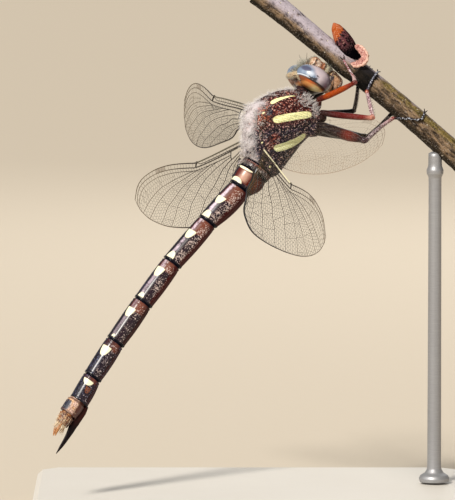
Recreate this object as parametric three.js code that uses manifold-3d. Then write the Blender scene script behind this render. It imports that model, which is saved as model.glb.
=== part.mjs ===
// A life-size model of a spiketail dragonfly that clings to a cut twig, on a plain display stand.
// Millimetres, +Z up. The origin is the centre of the underside of the stand's plate.
import * as THREE from "three";
import Module from "manifold-3d";

const wasm = await Module();
wasm.setup();

// ---- driving sizes ----
const GAP = 0.3; // clearance between touching pieces
const SHOULDER = new THREE.Vector3(0.77, 2.03, 58.82); // midway between the forewing bases
const BODY_HEADING = 25.6; // degrees, turn of the body to the far side
const BODY_CLIMB = 50.35; // degrees, nose up
const BODY_ROLL = 8.9; // degrees, right side raised

const FOREWING_LENGTH = 41.0;
const HINDWING_LENGTH = 40.0;
const WING_THICK = 0.5;

const HEAD_CENTRE = [8.72, 0, -3.19]; // forward, right, up, in body axes
const HEAD_TURN = -5.0;
const HEAD_NOD = 5.6;
const EYE_SEMI = [1.72, 2.1, 2.65]; // fore-aft, across, tall
const EYE_OFFSET = [0.0, 2.32, -0.1];
const EYE_LEAN = 17; // degrees, tops lean together
const EYE_REAR = -0.55; // the eye ends here, and the cheek goes on behind it

const PLATE = [62, 48, 5];
const PLATE_CHAMFER = 0.8;
const ROD_RADIUS = 1.25;
const ROD_AT = [26.6, 6.1];

// ---- colours ----
const BROWN = 0x5a3226;
const DARK = 0x2a1a18;
const ORANGE = 0xa2562a;
const TAN = 0xb08a5c;
const EYE_BLUE = 0x7d86a3;
const CLEAR_WING = 0xb9b2a0;
const BARK = 0x4e4a41;
const BUD = 0x6b4630;
const STAND_GREY = 0xd9d6cf;
const STEEL = 0xb4b4b2;

// ---- axes of the insect's body ----
const deg = THREE.MathUtils.degToRad;
const V = (x, y, z) => new THREE.Vector3(x, y, z);

function bodyAxes() {
  const h = deg(BODY_HEADING);
  const c = deg(BODY_CLIMB);
  const forward = V(Math.cos(c) * Math.cos(h), Math.cos(c) * Math.sin(h), Math.sin(c));
  const level = V(Math.sin(h), -Math.cos(h), 0);
  const back = level.clone().cross(forward);
  const roll = deg(BODY_ROLL);
  const right = level.clone().multiplyScalar(Math.cos(roll)).addScaledVector(back, Math.sin(roll));
  const up = right.clone().cross(forward);
  return { forward, right, up };
}

function turned(axes, turn, nod) {
  const yaw = new THREE.Quaternion().setFromAxisAngle(axes.up, deg(-turn));
  const pitch = new THREE.Quaternion().setFromAxisAngle(axes.right, deg(nod));
  const q = yaw.multiply(pitch);
  return {
    forward: axes.forward.clone().applyQuaternion(q),
    right: axes.right.clone().applyQuaternion(q),
    up: axes.up.clone().applyQuaternion(q),
  };
}

const AXES = bodyAxes();
const HEAD_AXES = turned(AXES, HEAD_TURN, HEAD_NOD);

function along(axes, origin, [f, r, u]) {
  return origin
    .clone()
    .addScaledVector(axes.forward, f)
    .addScaledVector(axes.right, r)
    .addScaledVector(axes.up, u);
}

const inBody = (p) => along(AXES, SHOULDER, p);
const HEAD_ORIGIN = inBody(HEAD_CENTRE);
const inHead = (p) => along(HEAD_AXES, HEAD_ORIGIN, p);

// ---- solids ----
function volume(points, faces) {
  let sum = 0;
  for (const [a, b, c] of faces) {
    sum += points[a].dot(points[b].clone().cross(points[c]));
  }
  return sum / 6;
}

function solid(points, faces) {
  const flip = volume(points, faces) < 0;
  const tris = faces.map(([a, b, c]) => (flip ? [a, c, b] : [a, b, c]));
  const vertProperties = new Float32Array(points.flatMap((p) => [p.x, p.y, p.z]));
  return new wasm.Manifold(
    new wasm.Mesh({ numProp: 3, vertProperties, triVerts: new Uint32Array(tris.flat()) })
  );
}

// A body lofted through closed rings of equal count, with fanned ends.
function loft(rings) {
  const n = rings[0].length;
  const points = rings.flat();
  const faces = [];
  for (let i = 0; i + 1 < rings.length; i++) {
    for (let j = 0; j < n; j++) {
      const a = i * n + j;
      const b = i * n + ((j + 1) % n);
      faces.push([a, b, a + n], [b, b + n, a + n]);
    }
  }
  for (const [start, order] of [[0, 1], [(rings.length - 1) * n, -1]]) {
    const middle = points.length;
    const ring = points.slice(start, start + n);
    points.push(ring.reduce((s, p) => s.add(p), V(0, 0, 0)).multiplyScalar(1 / n));
    for (let j = 0; j < n; j++) {
      const a = start + j;
      const b = start + ((j + 1) % n);
      faces.push(order > 0 ? [middle, b, a] : [middle, a, b]);
    }
  }
  return solid(points, faces);
}

// A ring about a centre, with half sizes along two directions; power 2 is an ellipse.
function ring(centre, sideways, upward, count, power = 2) {
  const out = [];
  for (let i = 0; i < count; i++) {
    const t = (i / count) * Math.PI * 2;
    const x = Math.sign(Math.cos(t)) * Math.abs(Math.cos(t)) ** (2 / power);
    const y = Math.sign(Math.sin(t)) * Math.abs(Math.sin(t)) ** (2 / power);
    out.push(centre.clone().addScaledVector(sideways, x).addScaledVector(upward, y));
  }
  return out;
}

// A tapered limb through points with a radius at each.
function limb(path, radii, count = 8) {
  const rings = [];
  let side = null;
  for (let i = 0; i < path.length; i++) {
    const before = path[Math.max(0, i - 1)];
    const after = path[Math.min(path.length - 1, i + 1)];
    const tangent = after.clone().sub(before).normalize();
    side = (side ?? (Math.abs(tangent.z) < 0.9 ? V(0, 0, 1) : V(1, 0, 0))).clone();
    side.addScaledVector(tangent, -side.dot(tangent)).normalize();
    const other = tangent.clone().cross(side);
    const r = radii[i];
    rings.push(ring(path[i], side.clone().multiplyScalar(r), other.multiplyScalar(r), count));
  }
  return loft(rings);
}

function ellipsoid(centre, axes, [a, b, c], stacks = 8, count = 14, power = 2) {
  const rings = [];
  for (let i = 0; i < stacks; i++) {
    const t = ((i + 0.5) / stacks) * Math.PI;
    const mid = centre.clone().addScaledVector(axes.up, c * Math.cos(t) * 1.015);
    const s = Math.sin(t) ** (2 / power);
    const x = axes.forward.clone().multiplyScalar(a * s);
    const y = axes.right.clone().multiplyScalar(b * s);
    rings.push(ring(mid, x, y, count, power));
  }
  return loft(rings);
}

// A smooth value through stations [place, value].
function through(stations, t) {
  const last = stations.length - 1;
  let i = 0;
  while (i < last - 1 && t > stations[i + 1][0]) i++;
  const [t0, y0] = stations[i];
  const [t1, y1] = stations[i + 1];
  const before = stations[Math.max(0, i - 1)];
  const after = stations[Math.min(last, i + 2)];
  const m0 = ((y1 - before[1]) / (t1 - before[0])) * (t1 - t0);
  const m1 = ((after[1] - y0) / (after[0] - t0)) * (t1 - t0);
  const u = Math.min(1, Math.max(0, (t - t0) / (t1 - t0)));
  return (
    (2 * u ** 3 - 3 * u ** 2 + 1) * y0 +
    (u ** 3 - 2 * u ** 2 + u) * m0 +
    (3 * u ** 2 - 2 * u ** 3) * y1 +
    (u ** 3 - u ** 2) * m1
  );
}

// ---- the assembly ----
const model = new THREE.Group();

function add(name, shape, colour, roughness, metalness = 0) {
  const { numProp, vertProperties, triVerts } = shape.getMesh();
  const count = vertProperties.length / numProp;
  const position = new Float32Array(count * 3);
  for (let i = 0; i < count; i++) {
    for (let k = 0; k < 3; k++) position[i * 3 + k] = vertProperties[i * numProp + k];
  }
  const geometry = new THREE.BufferGeometry();
  geometry.setAttribute("position", new THREE.BufferAttribute(position, 3));
  geometry.setIndex(new THREE.BufferAttribute(new Uint32Array(triVerts), 1));
  geometry.computeVertexNormals();
  const material = new THREE.MeshStandardMaterial({ color: colour, roughness, metalness });
  const mesh = new THREE.Mesh(geometry, material);
  mesh.name = name;
  model.add(mesh);
}

// ---- thorax: stations of place forward, middle height, half height, half width ----
const THORAX = [
  [6.5, -4.35, 1.75, 1.7],
  [6.1, -4.6, 2.5, 2.45],
  [5.3, -4.75, 3.5, 3.2],
  [4.0, -4.45, 4.15, 3.8],
  [2.4, -3.85, 4.4, 4.1],
  [0.6, -3.35, 4.6, 4.2],
  [-1.2, -3.5, 4.4, 4.05],
  [-3.0, -4.1, 3.75, 3.75],
  [-4.6, -4.75, 3.1, 3.2],
  [-5.7, -4.95, 2.6, 2.55],
];

function thorax(grow) {
  const rings = THORAX.map(([f, u, tall, wide]) =>
    ring(
      inBody([f, 0, u]),
      AXES.right.clone().multiplyScalar(wide + grow),
      AXES.up.clone().multiplyScalar(tall + grow),
      24,
      2.25
    )
  );
  return loft(rings);
}

add("thorax", thorax(0), BROWN, 0.7);

// ---- abdomen ----
// Rows of name, place from and to, middle height, half height and half width at both ends, belly.
const ABDOMEN = [
  ["s1", [-6.0, -6.85], [-4.9, -4.85], [2.45, 2.3], [2.35, 2.05], 0],
  ["s2", [-7.15, -9.8], [-4.85, -4.65], [2.3, 1.75], [1.95, 1.6], 0.25],
  ["s3", [-10.1, -16.6], [-4.6, -3.66], [1.7, 1.45], [1.55, 1.4], 0.2],
  ["s4", [-16.9, -24.45], [-3.63, -2.96], [1.45, 1.43], [1.4, 1.38], 0.08],
  ["s5", [-24.75, -31.55], [-2.95, -2.91], [1.43, 1.42], [1.38, 1.38], 0.08],
  ["s6", [-31.85, -38.5], [-2.91, -3.05], [1.42, 1.38], [1.38, 1.33], 0.08],
  ["s7", [-38.8, -44.5], [-3.06, -3.36], [1.38, 1.33], [1.33, 1.3], 0.08],
  ["s8", [-44.8, -48.55], [-3.4, -3.86], [1.33, 1.4], [1.3, 1.3], 0.08],
  ["s9", [-48.85, -50.85], [-3.6, -3.6], [1.35, 1.25], [1.28, 1.1], 0.05],
  ["s10", [-51.15, -52.6], [-3.65, -3.75], [1.15, 0.85], [1.05, 0.8], 0.05],
];
const RING_STEPS = [0, 0.06, 0.3, 0.62, 0.94, 1];

for (const [name, place, up, tall, wide, belly] of ABDOMEN) {
  const mix = THREE.MathUtils.lerp;
  const rings = RING_STEPS.map((t) => {
    const lip = t === 0 || t === 1 ? -0.12 : 0;
    const bulge = belly * Math.sin(Math.PI * t);
    return ring(
      inBody([mix(...place, t), 0, mix(...up, t) - bulge * 0.5]),
      AXES.right.clone().multiplyScalar(mix(...wide, t) + (bulge + lip) * 0.5),
      AXES.up.clone().multiplyScalar(mix(...tall, t) + bulge + lip),
      16,
      2.1
    );
  });
  add(`abdomen_${name}`, loft(rings), Number(name.slice(1)) > 8 ? TAN : BROWN, 0.35);
}

for (const [name, side] of [["right", 1], ["left", -1]]) {
  const path = [[-52.95, 0.42, -3.55], [-53.7, 0.55, -3.6], [-54.5, 0.42, -3.85]];
  const points = path.map(([f, r, u]) => inBody([f, side * r, u]));
  add(`cercus_${name}`, limb(points, [0.26, 0.3, 0.25]), ORANGE, 0.6);
}
{
  const path = [[-48.3, 0, -5.62], [-50.2, 0, -5.62], [-53.2, 0, -5.65], [-56.2, 0, -5.6]];
  const radii = [0.3, 0.38, 0.34, 0.26];
  add("ovipositor", limb(path.map(inBody), radii, 10), DARK, 0.35);
}

// ---- neck and head ----
{
  const stations = [[6.75, -4.0, 1.2, 1.3], [7.05, -3.8, 1.05, 1.15]];
  const rings = stations.map(([f, u, tall, wide]) =>
    ring(
      inBody([f, 0, u]),
      AXES.right.clone().multiplyScalar(wide),
      AXES.up.clone().multiplyScalar(tall),
      14
    )
  );
  add("prothorax", loft(rings), BROWN, 0.7);
}

function lean(axes, angle) {
  const q = new THREE.Quaternion().setFromAxisAngle(axes.forward, deg(angle));
  return {
    forward: axes.forward,
    right: axes.right.clone().applyQuaternion(q),
    up: axes.up.clone().applyQuaternion(q),
  };
}

function eye(side, grow) {
  const [f, r, u] = EYE_OFFSET;
  const size = EYE_SEMI.map((s) => s + grow);
  return ellipsoid(inHead([f, side * r, u]), lean(HEAD_AXES, -side * EYE_LEAN), size, 10, 18);
}

// A block in head axes, from its middle and half sizes.
function block(middle, [a, b, c]) {
  const corner = (f) =>
    [[1, 1], [-1, 1], [-1, -1], [1, -1]].map(([r, u]) =>
      inHead([middle[0] + f * a, middle[1] + r * b, middle[2] + u * c])
    );
  return loft([corner(-1), corner(1)]);
}

const leftHalf = block([0, -6, 0], [6, 6 - GAP / 2, 8]);
const rightHalf = block([0, 6, 0], [6, 6 - GAP / 2, 8]);
const rear = block([EYE_REAR - 4, 0, 0], [4, 8, 8]);
const ahead = block([EYE_REAR - GAP + 4, 0, 0], [4, 8, 8]);
add("eye_right", eye(1, 0).subtract(leftHalf).subtract(rear), EYE_BLUE, 0.12);
add("eye_left", eye(-1, 0).subtract(rightHalf).subtract(rear), EYE_BLUE, 0.12);
const eyeSpace = eye(1, GAP).add(eye(-1, GAP)).subtract(block([EYE_REAR - GAP - 4, 0, 0], [4, 8, 8]));

const skull = ellipsoid(inHead([-0.3, 0, -0.5]), HEAD_AXES, [1.35, 3.2, 2.3], 8, 18, 2.2)
  .add(eye(1, -0.04).subtract(ahead))
  .add(eye(-1, -0.04).subtract(ahead));
const NOSE = [
  [[2.55, 0, 0.25], [1.05, 1.5, 0.95]],
  [[2.5, 0, -1.3], [1.0, 1.6, 1.0]],
];
const LIP = [[2.45, 0, -3.0], [0.9, 1.5, 0.8]];
const CHIN = [[1.3, 0, -3.4], [1.5, 1.75, 1.05]];
const blob = ([middle, size], grow) =>
  ellipsoid(inHead(middle), HEAD_AXES, size.map((v) => v + grow), 7, 12, 2.3);
const nose = (grow) => blob(NOSE[0], grow).add(blob(NOSE[1], grow));

add("face", nose(0).subtract(eyeSpace), ORANGE, 0.5);
add("labrum", blob(LIP, 0).subtract(nose(GAP)).subtract(eyeSpace), TAN, 0.45);
const chin = blob(CHIN, 0).subtract(nose(GAP)).subtract(blob(LIP, GAP)).subtract(eyeSpace);
add("mouthparts", chin, TAN, 0.5);
const mask = nose(GAP).add(blob(LIP, GAP)).add(blob(CHIN, GAP));
add("head", skull.subtract(eyeSpace).subtract(mask), BROWN, 0.7);

for (const [name, side] of [["right", 1], ["left", -1]]) {
  const path = [[1.9, 0.8, 1.45], [2.2, 1.05, 2.0], [2.7, 1.45, 2.75], [3.3, 1.9, 3.4]];
  const points = path.map(([f, r, u]) => inHead([f, side * r, u]));
  add(`antenna_${name}`, limb(points, [0.27, 0.25, 0.25, 0.25], 7), DARK, 0.5);
}

// ---- wings ----
// Edges as [place along the wing, height ahead of its axis in mm]. The trailing edge fans back
// from the root.
const FORE_LEAD = [
  [0, 1.4], [0.15, 1.7], [0.35, 1.7], [0.52, 1.5], [0.62, 1.9], [0.72, 2.2], [0.82, 2.1],
  [0.9, 1.4], [0.96, 0.1], [1.0, -1.9],
];
const FORE_TRAIL = [
  [0, -1.2], [0.02, -2.4], [0.06, -3.9], [0.15, -5.0], [0.3, -6.2], [0.45, -6.9], [0.6, -7.1],
  [0.75, -6.8], [0.88, -5.8], [0.95, -4.5], [0.985, -3.2], [1.0, -1.9],
];
const HIND_LEAD = [
  [0, 1.6], [0.15, 1.6], [0.3, 1.4], [0.43, 1.2], [0.5, 1.5], [0.6, 1.9], [0.7, 2.0],
  [0.8, 1.6], [0.9, 0.5], [0.96, -1.0], [1.0, -3.3],
];
const HIND_TRAIL = [
  [0, -1.2], [-0.01, -3.5], [0, -6.5], [0.04, -9.0], [0.1, -10.4], [0.18, -11.0],
  [0.3, -10.8], [0.45, -10.2], [0.6, -9.5], [0.75, -8.6], [0.88, -7.2], [0.95, -5.8],
  [0.985, -4.5], [1.0, -3.3],
];

// Where each wing sits and how it is held: root in body axes; sweep forward, droop and pitch in
// degrees; slide of the outline along and across the wing; twist, upward bend and forward bow
// toward the tip; and its length and chord as a share of the nominal ones.
const WINGS = {
  forewing_right: {
    side: 1, root: [0.15, 3.0, -0.05], sweep: 1.8, droop: 7.1, pitch: 20.4,
    slide: [0.3, -1.75], twist: -20, bend: 0, bow: 0.2, length: 1.0, chord: 0.98,
  },
  forewing_left: {
    side: -1, root: [-0.01, -2.98, 0.1], sweep: 4.5, droop: 0, pitch: 11.1,
    slide: [-0.1, -0.2], twist: 20, bend: -0.85, bow: 2.7, length: 0.98, chord: 0.9,
  },
  hindwing_right: {
    side: 1, root: [-3.47, 3.0, -2.82], sweep: -17.5, droop: 9.7, pitch: 20.5,
    slide: [1.5, -1.6], twist: 20, bend: 2.4, bow: 4.0, length: 0.95, chord: 0.83,
  },
  hindwing_left: {
    side: -1, root: [-3.95, -3.21, -2.06], sweep: -10.3, droop: 4.8, pitch: 24.3,
    slide: [0.6, -0.6], twist: 20, bend: 2.7, bow: 2.9, length: 0.99, chord: 0.83,
  },
};

function wingFrame(w) {
  const [sw, dr, pi] = [w.sweep, w.droop, w.pitch].map(deg);
  const span = AXES.right
    .clone()
    .multiplyScalar(w.side * Math.cos(sw) * Math.cos(dr))
    .addScaledVector(AXES.forward, Math.sin(sw))
    .addScaledVector(AXES.up, -Math.sin(dr) * Math.cos(sw))
    .normalize();
  const chord = AXES.forward
    .clone()
    .multiplyScalar(Math.cos(pi))
    .addScaledVector(AXES.up, Math.sin(pi));
  chord.addScaledVector(span, -chord.dot(span)).normalize();
  const normal = span.clone().cross(chord);
  if (normal.dot(AXES.up) < 0) normal.negate();
  return { span, chord, normal };
}

function wingPoint(w, axes, length, x, y, lift) {
  const t = x / length;
  const twist = deg(w.twist) * THREE.MathUtils.clamp(t, 0, 1);
  const ahead = y * w.chord;
  return inBody(w.root)
    .addScaledVector(axes.span, x + w.slide[0])
    .addScaledVector(axes.chord, ahead * Math.cos(twist) + w.bow * t * t + w.slide[1])
    .addScaledVector(axes.normal, ahead * Math.sin(twist) + w.bend * t * t + lift);
}

const SPAN_STEPS = 20;
const CHORD_STEPS = 4;

// Evenly spaced points along an edge given as stations.
function edge(stations, steps) {
  const out = [];
  for (let i = 0; i <= steps; i++) {
    const s = (i / steps) * (stations.length - 1);
    const at = stations.map((p, k) => [k, p[0]]);
    const up = stations.map((p, k) => [k, p[1]]);
    out.push([through(at, s), through(up, s)]);
  }
  return out;
}

for (const [name, w] of Object.entries(WINGS)) {
  const fore = name.startsWith("fore");
  const length = (fore ? FOREWING_LENGTH : HINDWING_LENGTH) * w.length;
  const lead = edge(fore ? FORE_LEAD : HIND_LEAD, SPAN_STEPS);
  const trail = edge(fore ? FORE_TRAIL : HIND_TRAIL, SPAN_STEPS);
  const axes = wingFrame(w);
  const rings = [];
  for (let i = 0; i < SPAN_STEPS; i++) {
    const layer = (lift) => {
      const row = [];
      for (let j = 0; j <= CHORD_STEPS; j++) {
        const t = j / CHORD_STEPS;
        const x = THREE.MathUtils.lerp(lead[i][0], trail[i][0], t) * length;
        const y = THREE.MathUtils.lerp(lead[i][1], trail[i][1], t);
        row.push(wingPoint(w, axes, length, x, y, lift));
      }
      return row;
    };
    rings.push([...layer(WING_THICK / 2), ...layer(-WING_THICK / 2).reverse()]);
  }
  add(name, loft(rings).subtract(thorax(GAP)), CLEAR_WING, 0.2);
}

// ---- twig, bud and stand ----
const TWIG_PATH = new THREE.CatmullRomCurve3([
  V(1.05, 8.4, 75.85),
  V(5.1, 8.0, 72.7),
  V(10.5, 7.55, 68.25),
  V(14.95, 7.2, 64.8),
  V(21.55, 6.63, 59.5),
  V(29.45, 6.1, 52.6),
  V(31.9, 6.0, 50.45),
]);
const TWIG_LENGTH = TWIG_PATH.getLength();
// Radius along the twig, with a swelling at the leaf node.
const TWIG_GIRTH = [
  [0, 1.85], [0.15, 1.72], [0.34, 1.64], [0.42, 1.9], [0.48, 1.72], [0.75, 1.72], [1, 1.85],
];

function twigSection(mm) {
  const u = THREE.MathUtils.clamp(mm / TWIG_LENGTH, 0, 1);
  const at = TWIG_PATH.getPointAt(u);
  const tangent = TWIG_PATH.getTangentAt(u);
  const near = V(0, -1, 0).addScaledVector(tangent, tangent.y).normalize();
  const over = tangent.clone().cross(near);
  if (over.z < 0) over.negate();
  return { at, near, over, radius: through(TWIG_GIRTH, u) };
}

// A point beside the twig: distance along it, angle up from the near side, clearance from bark.
function besideTwig(mm, angle, clear) {
  const { at, near, over, radius } = twigSection(mm);
  return at
    .clone()
    .addScaledVector(near, Math.cos(deg(angle)) * (radius + clear))
    .addScaledVector(over, Math.sin(deg(angle)) * (radius + clear));
}

{
  const rings = [];
  const steps = 22;
  for (let i = 0; i <= steps; i++) {
    const { at, near, over, radius } = twigSection((i / steps) * TWIG_LENGTH);
    rings.push(ring(at, near.multiplyScalar(radius), over.multiplyScalar(radius), 16));
  }
  add("perch_twig", loft(rings), BARK, 0.9);
}

// ---- legs: joints in body axes, feet at places beside the twig ----
const LEGS = {
  front: {
    coxa: [6.15, 1.75, -6.3], hip: [7.0, 2.45, -5.75], thick: [0.5, 0.42, 0.34],
    right: {
      knee: [11.0, 7.9, -7.1],
      ankle: [18.5, -20],
      toes: [[16.8, -4], [15.2, 10], [14.4, 20]],
    },
    left: {
      knee: [12.2, -5.4, -8.1],
      ankle: [13.8, 215],
      toes: [[13.2, 190], [12.2, 165], [11.4, 150]],
    },
  },
  mid: {
    coxa: [5.0, 2.75, -7.6], hip: [5.55, 3.45, -7.0], thick: [0.62, 0.45, 0.38],
    right: {
      knee: [8.34, 9.14, -11.97],
      ankle: [21.2, -34],
      toes: [[20.9, 0], [20.7, 40], [20.7, 72]],
    },
    left: {
      knee: [10.88, -5.85, -13.17],
      ankle: [19.8, 230],
      toes: [[19.4, 195], [19.2, 165], [19.4, 140]],
    },
  },
  hind: {
    coxa: [3.4, 2.8, -8.2], hip: [3.85, 3.4, -8.0], thick: [0.72, 0.78, 0.48],
    right: {
      knee: [4.5, 11.65, -12.38],
      ankle: [26.6, -56],
      toes: [[28.3, -14], [29.7, 18], [29.5, 60]],
    },
    left: {
      knee: [9.19, -6.19, -17.12],
      ankle: [26.0, 236],
      toes: [[27.2, 205], [28.3, 180], [29.3, 155]],
    },
  },
};
const SHIN = 0.3;
const TOE = 0.26;

function between(a, b, inset) {
  const way = b.clone().sub(a);
  const d = way.length();
  return [a.clone().addScaledVector(way, inset / d), b.clone().addScaledVector(way, -inset / d)];
}

const hull = thorax(GAP);
for (const [pair, leg] of Object.entries(LEGS)) {
  for (const [name, side] of [["right", 1], ["left", -1]]) {
    const own = leg[name];
    const sided = ([f, r, u]) => inBody([f, side * r, u]);
    const hip = sided(leg.hip);
    const knee = inBody(own.knee);
    const ankle = besideTwig(own.ankle[0], own.ankle[1], GAP + SHIN);
    const [, kneeEnd] = between(hip, knee, leg.thick[2] * 0.6 + 0.22);
    const middle = hip.clone().lerp(knee, 0.45);
    const upper = limb(
      [sided(leg.coxa), hip, middle, kneeEnd],
      [leg.thick[0] * 1.1, leg.thick[0], leg.thick[1], leg.thick[2]]
    );
    const [shinTop, shinEnd] = between(knee, ankle, 0.6);
    const toes = own.toes.map(([mm, angle]) => besideTwig(mm, angle, GAP + TOE));
    add(`femur_${pair}_${name}`, upper.subtract(hull), pair === "front" ? ORANGE : BROWN, 0.4);
    const shinMiddle = shinTop.clone().lerp(shinEnd, 0.5);
    add(`tibia_${pair}_${name}`, limb([shinTop, shinMiddle, shinEnd], [SHIN, 0.27, 0.26]), DARK, 0.4);
    const [toeStart] = between(ankle, toes[0], 0.38);
    add(`tarsus_${pair}_${name}`, limb([toeStart, ...toes], [TOE, TOE, TOE, TOE]), DARK, 0.4);
  }
}

const grown = (extra) => {
  const path = TWIG_PATH.getSpacedPoints(24);
  return limb(path, path.map((_, i) => through(TWIG_GIRTH, i / 24) + extra), 16);
};
{
  const path = [
    V(14.9, 7.2, 65.9),
    V(14.2, 7.1, 67.4),
    V(13.4, 7.05, 69.0),
    V(12.6, 7.0, 70.4),
    V(12.1, 7.0, 71.3),
  ];
  add("perch_bud", limb(path, [1.2, 1.25, 1.05, 0.75, 0.4], 12).subtract(grown(GAP)), BUD, 0.8);
}

{
  const [x, y, z] = PLATE;
  const c = PLATE_CHAMFER;
  const rect = (level, cut) => {
    const a = x / 2 - cut;
    const b = y / 2 - cut;
    const k = 2.2;
    return [
      V(a - k, -b, level), V(a, -b + k, level), V(a, b - k, level), V(a - k, b, level),
      V(-a + k, b, level), V(-a, b - k, level), V(-a, -b + k, level), V(-a + k, -b, level),
    ];
  };
  add("stand_plate", loft([rect(0, 0), rect(z - c, 0), rect(z, c)]), STAND_GREY, 0.5);
}
{
  const [x, y] = ROD_AT;
  let top = 0;
  for (let mm = 0; mm <= TWIG_LENGTH; mm += 0.1) {
    const s = twigSection(mm);
    if (s.at.x <= x) top = s.at.z - s.radius * 0.6;
  }
  const foot = PLATE[2] + GAP;
  const up = [];
  for (const level of [foot, top]) {
    up.push(ring(V(x, y, level), V(ROD_RADIUS, 0, 0), V(0, ROD_RADIUS, 0), 20));
  }
  add("stand_rod", loft(up).subtract(grown(GAP)), STEEL, 0.3, 0.9);
}

export default model;
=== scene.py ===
"""Looks of a life-size spiketail dragonfly on a cut twig, built round its packed solids.

Shapes are worked out in millimetres in the insect's own axes (forward, right, up) and become
meshes in metres. Every piece rides on the one body of the model, "root".
"""

import math

import bmesh
import bpy
import numpy as np
from bpy.props import FloatProperty, FloatVectorProperty, IntProperty, PointerProperty
from mathutils import Matrix, Vector, kdtree, noise


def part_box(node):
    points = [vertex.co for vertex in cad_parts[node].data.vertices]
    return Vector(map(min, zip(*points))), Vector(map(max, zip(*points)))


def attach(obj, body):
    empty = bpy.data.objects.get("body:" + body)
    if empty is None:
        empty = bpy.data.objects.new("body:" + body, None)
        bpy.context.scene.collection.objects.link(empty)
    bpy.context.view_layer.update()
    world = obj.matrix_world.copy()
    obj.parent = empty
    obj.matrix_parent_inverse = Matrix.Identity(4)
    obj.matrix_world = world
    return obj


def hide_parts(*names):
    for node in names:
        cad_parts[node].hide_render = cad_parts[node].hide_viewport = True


bl_info = {
    "name": "Dragonfly on a twig",
    "version": (1, 0, 0),
    "blender": (4, 5, 0),
    "location": "View3D > Sidebar > Dragonfly",
    "description": "Skins, coat, wings and finishes of a dragonfly model on its display stand",
    "category": "Object",
}

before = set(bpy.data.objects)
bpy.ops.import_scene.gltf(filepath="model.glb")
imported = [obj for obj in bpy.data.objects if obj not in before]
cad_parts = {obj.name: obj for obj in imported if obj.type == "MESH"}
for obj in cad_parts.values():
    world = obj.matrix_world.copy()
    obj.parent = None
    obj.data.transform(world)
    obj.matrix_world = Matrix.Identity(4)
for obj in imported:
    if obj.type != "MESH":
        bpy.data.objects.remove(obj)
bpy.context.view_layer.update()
BODY = "root"
MM = 0.001

# ---- how the insect is held: the same driving sizes as its solids, in millimetres and degrees ----
SHOULDER = np.array([0.77, 2.03, 58.82])
BODY_HEADING, BODY_CLIMB, BODY_ROLL = 25.6, 50.35, 8.9
HEAD_CENTRE = (8.72, 0.0, -3.19)
HEAD_TURN, HEAD_NOD = -5.0, 5.6
EYE_SEMI = np.array([1.72, 2.1, 2.65])
EYE_OFFSET = np.array([0.0, 2.32, -0.1])
EYE_LEAN = 17.0
EYE_REAR = -0.88
FAR_EYE_AHEAD = 0.42
SIDES = {"right": 1, "left": -1}


def turn(axis, angle):
    """The 3 x 3 matrix of a turn about an axis, by degrees."""
    return np.array(Matrix.Rotation(math.radians(angle), 3, Vector(axis)))


def body_axes():
    """Forward, right and up of the body as rows."""
    heading, climb, roll = (math.radians(a) for a in (BODY_HEADING, BODY_CLIMB, BODY_ROLL))
    forward = np.array(
        [math.cos(climb) * math.cos(heading), math.cos(climb) * math.sin(heading), math.sin(climb)]
    )
    level = np.array([math.sin(heading), -math.cos(heading), 0])
    right = level * math.cos(roll) + np.cross(level, forward) * math.sin(roll)
    return np.array([forward, right, np.cross(right, forward)])


AXES = body_axes()
HEAD_AXES = AXES @ (turn(AXES[2], -HEAD_TURN) @ turn(AXES[1], HEAD_NOD)).T


def in_body(points):
    """World places of points given forward, right and up of the shoulder."""
    return SHOULDER + np.asarray(points, float) @ AXES


HEAD_ORIGIN = in_body(HEAD_CENTRE)


def in_head(points):
    """World places of points given in the head's own axes."""
    return HEAD_ORIGIN + np.asarray(points, float) @ HEAD_AXES


# ---- curves and soft steps ----
def unit(vectors):
    """Vectors, or rows of them, made one long."""
    return vectors / np.linalg.norm(vectors, axis=-1, keepdims=True)


def through(stations, t):
    """Smooth values through rows of (place, value, ...), for each place in t."""
    table = np.asarray(stations, float)
    places, values = table[:, 0], table[:, 1:]
    t = np.clip(np.atleast_1d(np.asarray(t, float)), places[0], places[-1])
    last = len(places) - 1
    i = np.clip(np.searchsorted(places, t, side="left") - 1, 0, last - 1)
    before, after = np.maximum(i - 1, 0), np.minimum(i + 2, last)
    span = (places[i + 1] - places[i])[:, None]
    slope_in = (values[i + 1] - values[before]) / (places[i + 1] - places[before])[:, None] * span
    slope_out = (values[after] - values[i]) / (places[after] - places[i])[:, None] * span
    u = ((t - places[i]) / span[:, 0])[:, None]
    return (
        (2 * u**3 - 3 * u**2 + 1) * values[i]
        + (u**3 - 2 * u**2 + u) * slope_in
        + (3 * u**2 - 2 * u**3) * values[i + 1]
        + (u**3 - u**2) * slope_out
    )


def curve(stations, count):
    """A smooth line through points of any dimension, evenly stepped between them."""
    table = np.asarray(stations, float)
    rows = np.column_stack([np.arange(len(table)), table])
    return through(rows, np.linspace(0, len(table) - 1, count))


def along(points, shares):
    """Places at shares of a line's own length."""
    steps = np.linalg.norm(np.diff(points, axis=0), axis=1)
    run = np.concatenate([[0], np.cumsum(steps)])
    return np.column_stack(
        [np.interp(np.asarray(shares) * run[-1], run, points[:, k]) for k in range(points.shape[1])]
    )


def soft(x, low, high):
    """0 below low, 1 above high and smooth between; low may be the larger."""
    t = np.clip((np.asarray(x, float) - low) / (high - low), 0, 1)
    return t * t * (3 - 2 * t)


def hump(x, centre, width):
    """A bell of height 1."""
    return np.exp(-(((np.asarray(x, float) - centre) / width) ** 2))


def grain(points, scale, seed=0.0):
    """Smooth noise from -1 to 1 at each point; scale is in mm."""
    return np.array([noise.noise(Vector(p / scale) + Vector((seed, 0, 0))) for p in points])


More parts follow.
